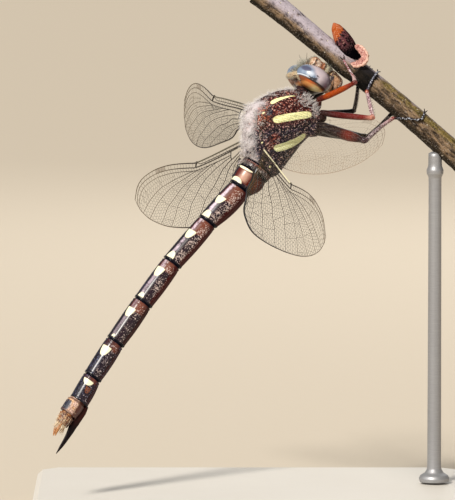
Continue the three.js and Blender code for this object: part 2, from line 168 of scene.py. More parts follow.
# ---- meshes ----
def ring(centre, side, up, count, power=2.0):
    """A closed ring of points, counted from up toward side; power 2 is an ellipse."""
    a = np.linspace(-math.pi, math.pi, count, endpoint=False)
    x = np.sign(np.sin(a)) * np.abs(np.sin(a)) ** (2 / power)
    y = np.sign(np.cos(a)) * np.abs(np.cos(a)) ** (2 / power)
    return np.asarray(centre) + np.outer(x, side) + np.outer(y, up)


def tube_rings(path, radii, sides, first=(0, 0, 1)):
    """Rings square to a path, with one radius for each of its points."""
    path = np.asarray(path, float)
    ahead = unit(np.gradient(path, axis=0))
    side = np.asarray(first, float)
    if abs(side @ ahead[0]) > 0.9:
        side = np.array([1.0, 0, 0])
    rings = []
    for at, way, radius in zip(path, ahead, np.broadcast_to(radii, len(path))):
        side = unit(side - way * (side @ way))
        rings.append(ring(at, np.cross(way, side) * radius, side * radius, sides))
    return np.array(rings)


def single(values):
    """Places whose first number alone is used."""
    return np.column_stack([values, values * 0, values * 0])


def widths(rows, count):
    """Values at even steps, read from rows of (share, value)."""
    return np.interp(np.linspace(0, 1, count), *zip(*rows))


class Mould:
    """The points and faces of one piece, gathered in millimetres, each point with a place.

    A place is three numbers that the finish of the piece reads, such as a distance along it.
    """

    def __init__(self):
        self.points, self.places, self.faces, self.maps = [], [], [], []
        self.total = 0

    def add(self, points, faces, places):
        """Adds points (n, 3), and faces as arrays of rows of corner numbers."""
        points = np.asarray(points, float).reshape(-1, 3)
        self.points.append(points)
        self.places.append(np.broadcast_to(np.asarray(places, float), points.shape))
        for face in faces:
            self.faces.append(np.asarray(face) + self.total)
        self.total += len(points)

    def loft(self, rings, places=(0, 0, 0)):
        """Skins closed rings of equal count (n, m, 3), with fanned ends."""
        rings = np.asarray(rings)
        n, m, _ = rings.shape
        index = np.arange(n * m).reshape(n, m)
        after = np.roll(index, -1, 1)
        quads = np.stack([index[:-1], after[:-1], after[1:], index[1:]], -1).reshape(-1, 4)
        places = np.broadcast_to(np.asarray(places, float), rings.shape).reshape(-1, 3)
        faces = [quads]
        for k, row in ((0, 0), (1, n - 1)):
            hub = np.full(m, n * m + k)
            faces.append(np.stack([hub, index[row], after[row]], -1))
        points = np.vstack([rings.reshape(-1, 3), rings[0].mean(0), rings[-1].mean(0)])
        self.add(points, faces, np.vstack([places, places[0], places[-1]]))

    def tube(self, path, radii, sides, places=(0, 0, 0)):
        """A closed tube along a path; places may be one row for each point of the path."""
        places = np.asarray(places, float)
        if places.ndim == 2:
            places = np.repeat(places[:, None, :], sides, axis=1)
        self.loft(tube_rings(path, radii, sides), places)

    def blob(self, centre, axes, semi, places=(0, 0, 0), count=40, power=2.0, shape=None):
        """An ellipsoid in rings along its first axis; shape may move its unit points."""
        t = np.linspace(0.03, math.pi - 0.03, count // 2)
        unit = np.array(
            [
                ring((math.cos(a), 0, 0), (0, math.sin(a), 0), (0, 0, math.sin(a)), count, power)
                for a in t
            ]
        )
        if shape is not None:
            unit = shape(unit)
        self.loft(np.asarray(centre) + (unit * np.asarray(semi)) @ np.asarray(axes), places)

    def rods(self, starts, ends, radius, sides, places):
        """Many straight closed rods at once, from starts to ends (n, 3)."""
        way = ends - starts
        size = np.linalg.norm(way, axis=1, keepdims=True)
        way = way / np.maximum(size, 1e-9)
        helper = np.where(np.abs(way[:, 2:]) < 0.8, [[0, 0, 1.0]], [[1.0, 0, 0]])
        side = unit(np.cross(way, helper))
        other = np.cross(way, side)
        a = np.linspace(0, 2 * math.pi, sides, endpoint=False) + math.pi / sides
        offset = side[:, None] * np.cos(a)[:, None] + other[:, None] * np.sin(a)[:, None]
        offset *= radius
        points = np.concatenate([starts[:, None] + offset, ends[:, None] + offset], 1)
        base = np.arange(len(starts))[:, None] * 2 * sides
        corner = np.arange(sides)
        after = (corner + 1) % sides
        walls = np.stack([corner, after, after + sides, corner + sides], -1)
        caps = np.stack([corner[::-1], corner + sides])
        faces = [
            (base[:, :, None] + walls).reshape(-1, 4),
            (base[:, :, None] + caps).reshape(-1, sides),
        ]
        self.add(points, faces, np.repeat(places, 2 * sides, axis=0))

    def piece(self, name, finish, replaces=(), slot=None, voxel=None, relax=0):
        """The finished object, riding on the body. A voxel size in mm fuses it into one skin."""
        points = np.vstack(self.points)
        places = np.vstack(self.places)
        mesh = bpy.data.meshes.new(name)
        faces = [row for block in self.faces for row in block.tolist()]
        mesh.from_pydata(points.tolist(), [], faces)
        piece = bpy.data.objects.new(name, mesh)
        bpy.context.scene.collection.objects.link(piece)
        outward(mesh)
        if voxel:
            places = fuse(piece, points, places, voxel, relax)
            mesh = piece.data
        mesh.transform(Matrix.Scale(MM, 4))
        layer = mesh.attributes.new("place", "FLOAT_VECTOR", "POINT")
        layer.data.foreach_set("vector", places.astype(np.float32).ravel())
        mesh.shade_smooth()
        mesh.materials.append(finish)
        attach(piece, BODY)
        if replaces:
            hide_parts(*replaces)
        return piece


def outward(mesh):
    """Turns every closed shell of a mesh so that its faces look outward."""
    work = bmesh.new()
    work.from_mesh(mesh)
    bmesh.ops.recalc_face_normals(work, faces=work.faces)
    work.to_mesh(mesh)
    work.free()


def fuse(piece, points, places, voxel, relax):
    """Makes one skin of a piece's shells and returns each new point's place."""
    remesh = piece.modifiers.new("one_skin", "REMESH")
    remesh.mode = "VOXEL"
    remesh.voxel_size = voxel
    smooth = piece.modifiers.new("relaxed", "SMOOTH")
    smooth.factor = 0.5
    smooth.iterations = relax
    ready = piece.evaluated_get(bpy.context.evaluated_depsgraph_get())
    made = bpy.data.meshes.new_from_object(ready)
    piece.modifiers.clear()
    old, piece.data = piece.data, made
    bpy.data.meshes.remove(old)
    tree = kdtree.KDTree(len(points))
    for i, p in enumerate(points):
        tree.insert(p, i)
    tree.balance()
    return np.array([places[tree.find(v.co)[1]] for v in made.vertices])


# ---- shader sheets ----
class Value:
    """A number on a socket; arithmetic on it adds Math nodes."""

    def __init__(self, sheet, socket):
        self.sheet = sheet
        self.socket = socket

    def math(self, operation, *others):
        """One Math node with this value first."""
        return self.sheet.node("ShaderNodeMath", {"operation": operation}, [self, *others])[0]

    def __add__(self, other):
        return self.math("ADD", other)

    __radd__ = __add__

    def __sub__(self, other):
        return self.math("SUBTRACT", other)

    def __rsub__(self, other):
        return self.sheet.number(other).math("SUBTRACT", self)

    def __mul__(self, other):
        return self.math("MULTIPLY", other)

    __rmul__ = __mul__

    def __truediv__(self, other):
        return self.math("DIVIDE", other)

    def __pow__(self, other):
        return self.math("POWER", other)

    def __abs__(self):
        return self.math("ABSOLUTE")

    def soft(self, low, high):
        """0 at low, 1 at high, smooth between; low may be the larger."""
        settings = {"interpolation_type": "SMOOTHSTEP"}
        node = self.sheet.node("ShaderNodeMapRange", settings, [self, min(low, high), max(low, high)])
        return node[0] if low < high else 1 - node[0]

    def within(self, low, high, edge):
        """1 between low and high, with soft edges."""
        return self.soft(low - edge / 2, low + edge / 2) * self.soft(high + edge / 2, high - edge / 2)


class Node:
    """A node whose outputs are read by name or number as values."""

    def __init__(self, sheet, made):
        self.sheet = sheet
        self.made = made

    def __getitem__(self, key):
        return Value(self.sheet, self.made.outputs[key])


class Sheet:
    """The node tree of one finish. Its ground is the colour painted so far.

    A colour is a value on a socket, a user's colour, or red, green and blue display values.
    """

    def __init__(self, name):
        self.material = bpy.data.materials.new(name)
        self.material.use_nodes = True
        self.tree = self.material.node_tree
        self.tree.nodes.clear()
        self.seen = {}
        self.ground = None

    def node(self, kind, settings=None, inputs=None):
        """Adds a node: its settings are set first, then sockets by order or by name."""
        made = self.tree.nodes.new(kind)
        for key, value in (settings or {}).items():
            if key == "stops":
                self.fill_ramp(made.color_ramp, value)
            else:
                setattr(made, key, value)
        pairs = inputs.items() if isinstance(inputs, dict) else enumerate(inputs or [])
        for key, value in pairs:
            if isinstance(value, Value):
                self.tree.links.new(value.socket, made.inputs[key])
            else:
                made.inputs[key].default_value = value
        return Node(self, made)

    @staticmethod
    def fill_ramp(ramp, stops):
        """Sets a ramp's stops from (place, colour) pairs."""
        while len(ramp.elements) < len(stops):
            ramp.elements.new(1.0)
        for element, (place, colour) in zip(ramp.elements, stops):
            element.position = place
            element.color = Sheet.tint(colour)

    def number(self, value):
        """A plain number as a value."""
        node = self.node("ShaderNodeValue")
        node.made.outputs[0].default_value = value
        return node[0]

    def point(self):
        """The place on the object, in metres."""
        if "point" not in self.seen:
            self.seen["point"] = self.node("ShaderNodeTexCoord")["Object"]
        return self.seen["point"]

    def split(self, vector):
        """The three numbers of a vector."""
        node = self.node("ShaderNodeSeparateXYZ", None, [vector])
        return node[0], node[1], node[2]

    def place(self):
        """The three numbers stored at each point of the mesh."""
        if "place" not in self.seen:
            node = self.node("ShaderNodeAttribute", {"attribute_name": "place"})
            self.seen["place"] = self.split(node["Vector"])
        return self.seen["place"]

    def reach(self, origin, way):
        """Distance in mm along a direction from an origin given in mm."""
        start = tuple(float(x) * MM for x in origin)
        moved = self.node("ShaderNodeVectorMath", {"operation": "SUBTRACT"}, [self.point(), start])[0]
        way = tuple(float(x) for x in way)
        dot = self.node("ShaderNodeVectorMath", {"operation": "DOT_PRODUCT"}, [moved, way])
        return dot["Value"] / MM

    def body(self):
        """Forward, right and up of the shoulder, in mm."""
        if "body" not in self.seen:
            self.seen["body"] = tuple(self.reach(SHOULDER, axis) for axis in AXES)
        return self.seen["body"]

    def head(self):
        """Forward, right and up of the head's middle, in mm."""
        if "head" not in self.seen:
            self.seen["head"] = tuple(self.reach(HEAD_ORIGIN, axis) for axis in HEAD_AXES)
        return self.seen["head"]

    def noise(self, size, detail=3.0, rough=0.55, vector=None, seed=0.0):
        """Cloudy noise from 0 to 1 whose lumps are about size mm across."""
        inputs = {"Vector": vector or self.point(), "W": seed, "Scale": 1 / (size * MM)}
        inputs.update({"Detail": detail, "Roughness": rough})
        return self.node("ShaderNodeTexNoise", {"noise_dimensions": "4D"}, inputs)["Fac"]

    def cells(self, size, randomness=1.0):
        """Distance pattern of cells about size mm across."""
        inputs = {"Vector": self.point(), "Scale": 1 / (size * MM), "Randomness": randomness}
        return self.node("ShaderNodeTexVoronoi", None, inputs)["Distance"]

    @staticmethod
    def tint(colour):
        """A colour as a socket takes it."""
        if isinstance(colour, Value):
            return colour
        return (*(tone(*colour) if isinstance(colour, tuple) else colour), 1)

    def mix(self, factor, first, second):
        """A colour between two colours."""
        inputs = {0: factor, 6: self.tint(first), 7: self.tint(second)}
        return self.node("ShaderNodeMix", {"data_type": "RGBA"}, inputs)[2]

    def paint(self, cover, colour):
        """Lays a colour over the ground, as thickly as cover says."""
        self.ground = self.mix(cover, self.ground, colour)

    def ramp(self, value, stops):
        """A colour read from (place, colour) stops."""
        return self.node("ShaderNodeValToRGB", {"stops": stops}, [value])["Color"]

    def finish(self, roughness, bump=None, depth=0.02, **constants):
        """The surface: a principled shader on the ground, with a bump whose depth is in mm."""
        inputs = {"Base Color": self.ground, "Roughness": roughness}
        inputs.update({key.replace("_", " "): value for key, value in constants.items()})
        if bump is not None:
            relief = self.node("ShaderNodeBump", None, {"Distance": depth * MM, "Height": bump})
            inputs["Normal"] = relief["Normal"]
        surface = self.node("ShaderNodeBsdfPrincipled", None, inputs)
        self.node("ShaderNodeOutputMaterial", None, {"Surface": surface["BSDF"]})
        return self.material


def oval(along, up, middle, reach):
    """0 in the middle of an oval and 1 on its edge, growing as the square of the distance."""
    return ((along - middle[0]) / reach[0]) ** 2 + ((up - middle[1]) / reach[1]) ** 2


def tone(red, green, blue):
    """A colour from 0 to 255 display values, as linear light."""
    return tuple(
        c / 12.92 if c <= 0.04045 else ((c + 0.055) / 1.055) ** 2.4
        for c in (red / 255, green / 255, blue / 255)
    )


def colour_prop(name, description, red, green, blue):
    """A colour that a user may change."""
    start = tone(red, green, blue)
    return FloatVectorProperty(
        name=name, description=description, default=start, subtype="COLOR", min=0, max=1
    )


def length_prop(name, description, millimetres):
    """A length that a user may change."""
    return FloatProperty(
        name=name, description=description, default=millimetres * MM, unit="LENGTH", min=0, precision=5
    )


# ---- what a user may change ----
class ShellColours(bpy.types.PropertyGroup):
    """Colours of the hard shell of body and legs."""

    black: colour_prop("Black", "Darkest shell, on joints and back", 15, 14, 26)
    umber: colour_prop("Umber", "Dark brown of the abdomen's sides", 33, 19, 28)
    red_brown: colour_prop("Red brown", "Bands in front of the pale spots", 88, 38, 28)
    belly: colour_prop("Belly", "Dark red of the underside", 56, 16, 12)
    cream: colour_prop("Cream", "Pale spots of the abdomen", 244, 240, 208)
    speckle: colour_prop("Speckle", "Pale grains along the sides", 222, 200, 192)
    thorax: colour_prop("Thorax", "Red-brown ground of the thorax", 98, 42, 38)
    yellow: colour_prop("Yellow", "Front and middle stripes of the thorax", 250, 248, 190)
    green: colour_prop("Green", "Rear stripe of the thorax", 224, 226, 180)
    orange: colour_prop("Orange", "Front thighs", 152, 60, 4)
    # Pink of the near shins: partly their own colour and partly a painted highlight.
    pink: colour_prop("Pink", "Pale shins, partly a painted highlight", 204, 158, 152)


class HeadColours(bpy.types.PropertyGroup):
    """Colours of the eyes and the face."""

    eye: colour_prop("Eye", "Blue-grey of the eye's upper part", 118, 134, 158)
    eye_top: colour_prop("Eye top", "Dusky violet patch near the eye's top", 62, 56, 84)
    eye_front: colour_prop("Eye front", "Pinkish grey of the eye's front", 196, 182, 188)
    eye_low: colour_prop("Eye low", "Slate of the eye's lowest part", 98, 86, 102)
    lip: colour_prop("Lip", "Tan of the upper lip", 196, 170, 130)
    jaw: colour_prop("Jaw", "Brown of the jaws", 186, 142, 108)


class CoatSettings(bpy.types.PropertyGroup):
    """Hair of the thorax, head and tail."""

    length: length_prop("Length", "Longest hair, on the back between the wings", 0.95)
    thickness: length_prop("Thickness", "Thickness of a hair at its root", 0.032)
    thorax_tufts: IntProperty(name="Thorax tufts", description="Number of tufts", default=1150, min=10)
    head_tufts: IntProperty(name="Head tufts", description="Number of tufts", default=420, min=10)
    tail_tufts: IntProperty(name="Tail tufts", description="Number of tufts", default=240, min=10)
    grey: colour_prop("Grey", "Woolly hair", 238, 234, 233)
    brown: colour_prop("Brown", "Hair in the shade of the sides", 150, 128, 112)


class WingSettings(bpy.types.PropertyGroup):
    """Veins and skin of the wings."""

    vein: length_prop("Main vein", "Radius of the main veins at the root", 0.1)
    cross_vein: length_prop("Cross vein", "Radius of the finest veins", 0.02)
    cell: length_prop("Cell", "Width of a cell near the trailing edge", 0.78)
    skin: length_prop("Skin", "Thickness of the clear skin", 0.03)
    clearness: FloatProperty(
        name="Tint", description="How much the skin hides", default=0.035, min=0, max=1, subtype="FACTOR"
    )
    vein_colour: colour_prop("Vein", "Brown veins", 20, 15, 13)
    # The pale front edge of the near hind wing is partly the edge's own pale colour and mostly a painted
    # glint.
    costa: colour_prop("Front edge", "Pale front edge of the near hind wing", 236, 228, 190)
    skin_colour: colour_prop("Skin colour", "Olive grey tint of the skin", 84, 86, 66)


class PerchSettings(bpy.types.PropertyGroup):
    """Bark, bud and stand."""

    bark: colour_prop("Bark", "Brown of the bark", 144, 120, 94)
    # Colour of the paler top of the bark: a painted highlight.
    bark_highlight: colour_prop("Ash", "Pale top of the bark, a painted highlight", 166, 154, 162)
    moss: colour_prop("Moss", "Olive patches", 138, 120, 58)
    scar: colour_prop("Scar", "Leaf scar at the bud", 226, 180, 160)
    wood: colour_prop("Wood", "Cut ends of the twig", 206, 184, 142)
    plate: colour_prop("Plate", "Painted plate of the stand", 222, 217, 208)
    steel: colour_prop("Steel", "Rod of the stand", 176, 176, 178)


class StudioSettings(bpy.types.PropertyGroup):
    """Camera, light and backdrop."""

    distance: FloatProperty(
        name="Distance", description="Camera to the model", default=1.0, unit="LENGTH", min=0.1
    )
    elevation: FloatProperty(
        name="Elevation", description="Camera above the level", default=math.radians(6), unit="ROTATION"
    )
    view_height: FloatProperty(
        name="View height", description="Height seen at the model", default=0.0714286, unit="LENGTH"
    )
    backdrop: colour_prop("Backdrop", "Pale floor", 210, 199, 182)
    key: FloatProperty(name="Key", description="Strength of the sun", default=3.9, min=0)
    fill: FloatProperty(name="Fill", description="Strength of the fill lamps in watts", default=0.42, min=0)
    sky: FloatProperty(name="Sky", description="Strength of the light all round", default=0.27, min=0)


# ---- thorax ----
# Stations of place forward, middle height, half height and half width, from tail to neck.
THORAX = [
    (-5.75, -4.95, 2.5, 2.45), (-5.0, -4.85, 2.95, 3.05), (-4.6, -4.75, 3.1, 3.2),
    (-3.0, -4.1, 3.75, 3.75), (-1.2, -3.5, 4.4, 4.05), (0.6, -3.35, 4.6, 4.2),
    (2.4, -3.85, 4.4, 4.1), (4.0, -4.45, 4.15, 3.8), (5.3, -4.75, 3.5, 3.2),
    (6.1, -4.6, 2.5, 2.45), (6.5, -4.35, 1.7, 1.65),
]
COLLAR = [
    (6.2, -4.4, 1.5, 1.5), (6.55, -4.1, 1.35, 1.4), (6.75, -3.95, 1.5, 1.65), (7.0, -3.85, 1.3, 1.5),
    (7.25, -3.7, 0.95, 1.0), (7.8, -3.5, 0.8, 0.85),
]
THORAX_POWER = 2.25
THORAX_STEPS = (96, 160)
# Furrows between the side plates, from and to in forward and up.
FURROWS = [((-1.0, -0.9), (5.0, -4.6)), ((-1.8, -2.2), (3.2, -7.0)), ((-4.2, -3.4), (0.6, -7.0))]


def thorax_surface(f, angle):
    """Points of the thorax in body axes, for places forward and angles from the back, in radians."""
    mid, tall, wide = through(THORAX, f).T
    x, y = np.sin(angle), np.cos(angle)
    right = wide * np.sign(x) * np.abs(x) ** (2 / THORAX_POWER)
    up = tall * np.sign(y) * np.abs(y) ** (2 / THORAX_POWER)
    height = mid + up
    top = hump(angle, 0, 0.5)
    lift = 0.1 * hump(angle, 0, 0.09) * soft(f, 1.4, 2.0) * soft(f, 5.6, 4.6)
    lift += top * (0.14 * hump(f, 0.5, 0.45) - 0.25 * hump(f, -0.35, 0.3) + 0.1 * hump(f, -1.1, 0.35))
    lift += top * (0.12 * hump(f, -2.9, 0.5) - 0.22 * hump(f, -2.1, 0.25) - 0.15 * hump(f, -3.7, 0.25))
    lift -= 0.16 * hump(f, 1.5, 0.22) * hump(np.abs(angle), 0, 0.8)
    for (f0, u0), (f1, u1) in FURROWS:
        run = math.hypot(f1 - f0, u1 - u0)
        share = ((f - f0) * (f1 - f0) + (height - u0) * (u1 - u0)) / run**2
        off = ((f - f0) * (u1 - u0) - (height - u0) * (f1 - f0)) / run
        side = np.abs(x) > 0.3
        lift -= 0.13 * hump(off, 0, 0.16) * soft(share, -0.08, 0.05) * soft(share, 1.08, 0.95) * side
        lift += 0.07 * hump(off, 0.5, 0.4) * soft(share, 0, 0.2) * soft(share, 1.0, 0.8) * side
    scale = 1 + lift / np.maximum(np.hypot(right, up), 0.5)
    return np.stack([f, right * scale, mid + up * scale], -1)


def build_thorax(colours):
    """One skin over thorax, collar, neck and the leg sockets."""
    mould = Mould()
    f = np.linspace(THORAX[0][0], THORAX[-1][0], THORAX_STEPS[0])
    angle = np.linspace(-math.pi, math.pi, THORAX_STEPS[1], endpoint=False)
    all_f, all_angles = (grid.ravel() for grid in np.meshgrid(f, angle, indexing="ij"))
    mould.loft(in_body(thorax_surface(all_f, all_angles).reshape(len(f), len(angle), 3)))
    f = np.linspace(COLLAR[0][0], COLLAR[-1][0], 24)
    mould.loft(
        [
            ring(in_body((at, 0, mid)), AXES[1] * wide, AXES[2] * tall, 48)
            for at, (mid, tall, wide) in zip(f, through(COLLAR, f))
        ]
    )
    for leg in LEGS.values():
        for side in SIDES.values():
            f, r, u = leg["coxa"]
            root = in_body((f * 0.9 + 0.1, side * r * 0.8, u + 0.75))
            tip = in_body((f, side * r, u))
            thick = leg["thick"][0]
            path = curve([root, (root + tip) / 2, tip], 8)
            mould.tube(path, np.linspace(thick * 1.9, thick * 1.35, 8), 20)
    for (f, r, u), size in WING_ROOTS:
        for side in SIDES.values():
            mould.blob(in_body((f, side * r, u)), AXES, size, count=24)
    nodes = ("thorax", "prothorax")
    mould.piece("thorax_skin", thorax_finish(colours), nodes, "shell_brown", voxel=0.08, relax=3)


# Knobs under the wings' roots: middle and half axes, in body axes.
WING_ROOTS = [
    ((0.5, 3.0, -0.35), (0.75, 0.5, 0.45)), ((-0.7, 2.95, -0.55), (0.6, 0.45, 0.35)),
    ((-3.1, 2.8, -2.35), (0.75, 0.5, 0.5)), ((-4.3, 2.5, -3.1), (0.6, 0.45, 0.4)),
]
# Stripes of the side in forward and up: start, end, half width at both ends, bow, colour.
STRIPES = [
    ((2.0, -0.2), (5.15, -2.5), 0.27, 0.04, 0.24, "yellow"),
    ((0.05, -1.65), (4.35, -5.8), 0.56, 0.5, 0.1, "yellow"),
    ((-3.05, -4.3), (1.6, -7.05), 0.56, 0.48, -0.3, "green"),
]
# Yellow dots and a dark hollow of the side: middle, and half length and height.
DOTS = [((0.14, -0.04), (0.2, 0.1)), ((-3.35, -2.42), (0.13, 0.1)), ((-5.2, -5.6), (0.2, 0.16))]
HOLLOW = ((0.72, -0.66), (0.55, 0.34))


def stripe_mask(f, u, start, end, wide, tip, bow):
    """A bowed stripe between two points of the side."""
    run = math.hypot(end[0] - start[0], end[1] - start[1])
    way = ((end[0] - start[0]) / run, (end[1] - start[1]) / run)
    share = ((f - start[0]) * way[0] + (u - start[1]) * way[1]) / run
    off = (u - start[1]) * way[0] - (f - start[0]) * way[1]
    off = (off - share * (1 - share) * (4 * bow)) / (share * (tip - wide) + wide)
    ends = abs(share * 2 - 1)
    return (abs(off) ** 2.6 + ends**7).soft(1.25, 0.75)


def thorax_finish(colours):
    """Red-brown granular shell with yellow stripes, darker below and bloomed on the back."""
    sheet = Sheet("thorax shell")
    f, r, u = sheet.body()
    waver = sheet.noise(0.9, 3)
    cloud = sheet.noise(2.2, 3, seed=3)
    grains = sheet.cells(0.32)
    fine = sheet.noise(0.26, 3, 0.6, seed=7)
    lower = (u + f * 0.9 - waver * 1.6).soft(-2.6, -4.8)
    rust = oval(f, u, (-0.1, 0.1), (1.5, 1.1)).soft(1.3, 0.4)
    rust = rust.math("MAXIMUM", oval(f, u, (-2.4, -3.5), (1.5, 1.0)).soft(1.2, 0.3))
    sheet.ground = sheet.mix(lower, colours.thorax, (50, 34, 48))
    sheet.paint(rust * cloud.soft(0.36, 0.52), (150, 66, 34))
    gap = sheet.mix(lower, (34, 8, 12), (12, 10, 26))
    sheet.paint(fine.soft(0.5, 0.42) * 0.9, gap)
    sheet.paint(grains.soft(0.42, 0.52) * 0.8, gap)
    grain = sheet.mix(lower, (188, 112, 92), (140, 118, 128))
    sheet.paint(grains.soft(0.4, 0.2) * fine.soft(0.47, 0.53) * 0.85, grain)
    sheet.paint(fine.soft(0.58, 0.63) * 0.7, (226, 190, 174))
    uu = u + (waver - 0.5) * 0.2
    side = abs(r).soft(1.2, 1.7)
    comb = ((f * 0.94 + u * 0.34 + waver * 0.3) * 19).math("SINE").soft(0.1, 0.9) * u.soft(-0.2, -0.8) * 0.5
    for start, end, wide, tip, bow, name in STRIPES:
        mask = stripe_mask(f, uu, start, end, wide, tip, bow)
        paint = sheet.mix(fine.soft(0.5, 0.6) * 0.35, getattr(colours, name), (176, 168, 112))
        paint = sheet.mix(comb, paint, (186, 184, 112))
        sheet.paint(mask * side, paint)
    for middle, reach in DOTS:
        sheet.paint(oval(f, u, middle, reach).soft(1.4, 0.6) * side, (250, 244, 190))
    sheet.paint(oval(f, u, *HOLLOW).soft(1.3, 0.7) * side * 0.9, (16, 20, 38))
    back = abs(r).soft(3.0, 1.6) * f.soft(2.2, 1.4) * (u - f * 0.45).soft(-2.1, -1.0)
    sheet.paint(back * cloud.soft(0.34, 0.52) * 0.9, (212, 204, 207))
    front = f.soft(5.3, 6.3) * 0.8 + abs(r).soft(1.3, 0.5) * f.within(1.6, 5.6, 0.5) * 0.75
    sheet.paint(front.math("MINIMUM", 0.85), (38, 28, 32))
    relief = grains * 0.9 + fine * 0.5
    return sheet.finish(fine * 0.3 + 0.4, relief, 0.09, Specular_IOR_Level=0.12)


# ---- abdomen ----
# Rows of place from and to, middle height, half height and half width at both ends, belly.
ABDOMEN = {
    "s1": ((-6.0, -6.85), (-4.9, -4.85), (2.45, 2.3), (2.35, 2.05), 0),
    "s2": ((-7.15, -9.8), (-4.85, -4.65), (2.3, 1.75), (1.95, 1.6), 0.25),
    "s3": ((-10.1, -16.6), (-4.6, -3.66), (1.7, 1.45), (1.55, 1.4), 0.2),
    "s4": ((-16.9, -24.45), (-3.63, -2.96), (1.45, 1.43), (1.4, 1.38), 0.08),
    "s5": ((-24.75, -31.55), (-2.95, -2.91), (1.43, 1.42), (1.38, 1.38), 0.08),
    "s6": ((-31.85, -38.5), (-2.91, -3.05), (1.42, 1.38), (1.38, 1.33), 0.08),
    "s7": ((-38.8, -44.5), (-3.06, -3.36), (1.38, 1.33), (1.33, 1.3), 0.08),
    "s8": ((-44.8, -48.55), (-3.4, -3.86), (1.33, 1.4), (1.3, 1.3), 0.08),
    "s9": ((-48.85, -50.85), (-3.6, -3.6), (1.35, 1.25), (1.28, 1.1), 0.05),
    "s10": ((-51.15, -52.6), (-3.65, -3.75), (1.15, 0.85), (1.05, 0.8), 0.05),
}
COLLAR_REACH = 0.5
# Cream spots: front spot's start, length, half width and angle from the back; the rear spot's
# length, half width and angle. Lengths are in mm and angles in degrees.
SPOTS = {
    "s2": ((0.08, 0.34, 0.95, 40), (0.62, 0.85, 34)),
    "s3": ((2.5, 1.2, 0.68, 38), (1.1, 0.7, 38)),
    "s4": ((2.2, 1.4, 0.76, 40), (1.05, 0.68, 40)),
    "s5": ((1.35, 1.5, 0.76, 38), (0.72, 0.52, 40)),
    "s6": ((1.45, 1.45, 0.74, 38), (0.42, 0.3, 42)),
    "s7": ((1.1, 1.5, 0.84, 46), (0.0, 0.0, 40)),
    "s8": ((0.55, 0.8, 0.88, 62), (0.0, 0.0, 40)),
}


# Of each segment: strength and scarcity of its pale grains, and strength of its painted lilac highlight
# streak.
GRAINS = {
    "s1": (0.5, 0, 0), "s2": (0.3, 0, 0), "s3": (1, 0, 1), "s4": (1, 0, 0.9),
    "s5": (1, 0.02, 0.6), "s6": (1, 0.03, 0.35), "s7": (0.8, 0.05, 0), "s8": (0.8, 0.05, 0),
}
# Degrees round a segment as mm of its skin.
ARC = 1.45 * math.pi / 180


def segment_rings(data):
    """Rings of one abdominal segment, and the place of each point: mm back, angle and length."""
    (f0, f1), ups, talls, wides, belly = data
    long = f0 - f1
    inner = np.array([-COLLAR_REACH, -0.25, -0.1])
    outer = np.concatenate([[0, 0.04, 0.1, 0.2], np.linspace(0.32, long - 0.4, 26)])
    rear = long - np.array([0.3, 0.2, 0.12, 0.06, 0.0])
    x = np.concatenate([inner, outer, rear, [long + 0.03, long + 0.01, long - 0.12]])
    t = np.clip(x / long, 0, 1)
    bulge = belly * np.sin(np.pi * t)
    lift = bulge - 0.2 * soft(x, 0.06, -0.1) - 0.05 * hump(x, 0.3, 0.1)
    lift += 0.05 * soft(x, long - 0.34, long - 0.18)
    lift[-3:] -= (0.03, 0.15, 0.35)
    mid, tall, wide = (low + (high - low) * t for low, high in (ups, talls, wides))
    mid, tall, wide = mid - bulge * 0.5, tall + lift, wide + lift - bulge * 0.5
    rings, places = [], []
    count = 56
    angle = np.abs(np.linspace(-180, 180, count, endpoint=False))
    fold = 1 - 0.045 * hump(angle, 138, 6) - 0.02 * hump(angle, 0, 5)
    for xx, m, a, b in zip(x, mid, tall, wide):
        centre = in_body((f0 - xx, 0, m))
        base = ring(centre, AXES[1] * b, AXES[2] * a, count, 2.1)
        rings.append(centre + (base - centre) * fold[:, None])
        places.append(np.column_stack([np.full(count, xx), angle, np.full(count, long)]))
    return rings, places


def build_abdomen(colours):
    """Ten tail segments, each a shell that slides under the rim of the one before."""
    for name, data in ABDOMEN.items():
        mould = Mould()
        rings, places = segment_rings(data)
        mould.loft(rings, places)
        slot = "tail_tan" if name in ("s9", "s10") else "abdomen_shell"
        finish = segment_finish(name, data[0][0] - data[0][1], colours)
        mould.piece(f"abdomen_{name}_shell", finish, (f"abdomen_{name}",), slot)


def half_moon(x, across, start, long, half):
    """A spot with a straight side at start, narrowing to its other end; long may be negative."""
    run = (x - start) / long
    far = run.math("MAXIMUM", 0) ** 1.5 + (abs(across) / half) ** 2.4
    return far.soft(1.12, 0.9) * run.soft(-0.04, 0.04)


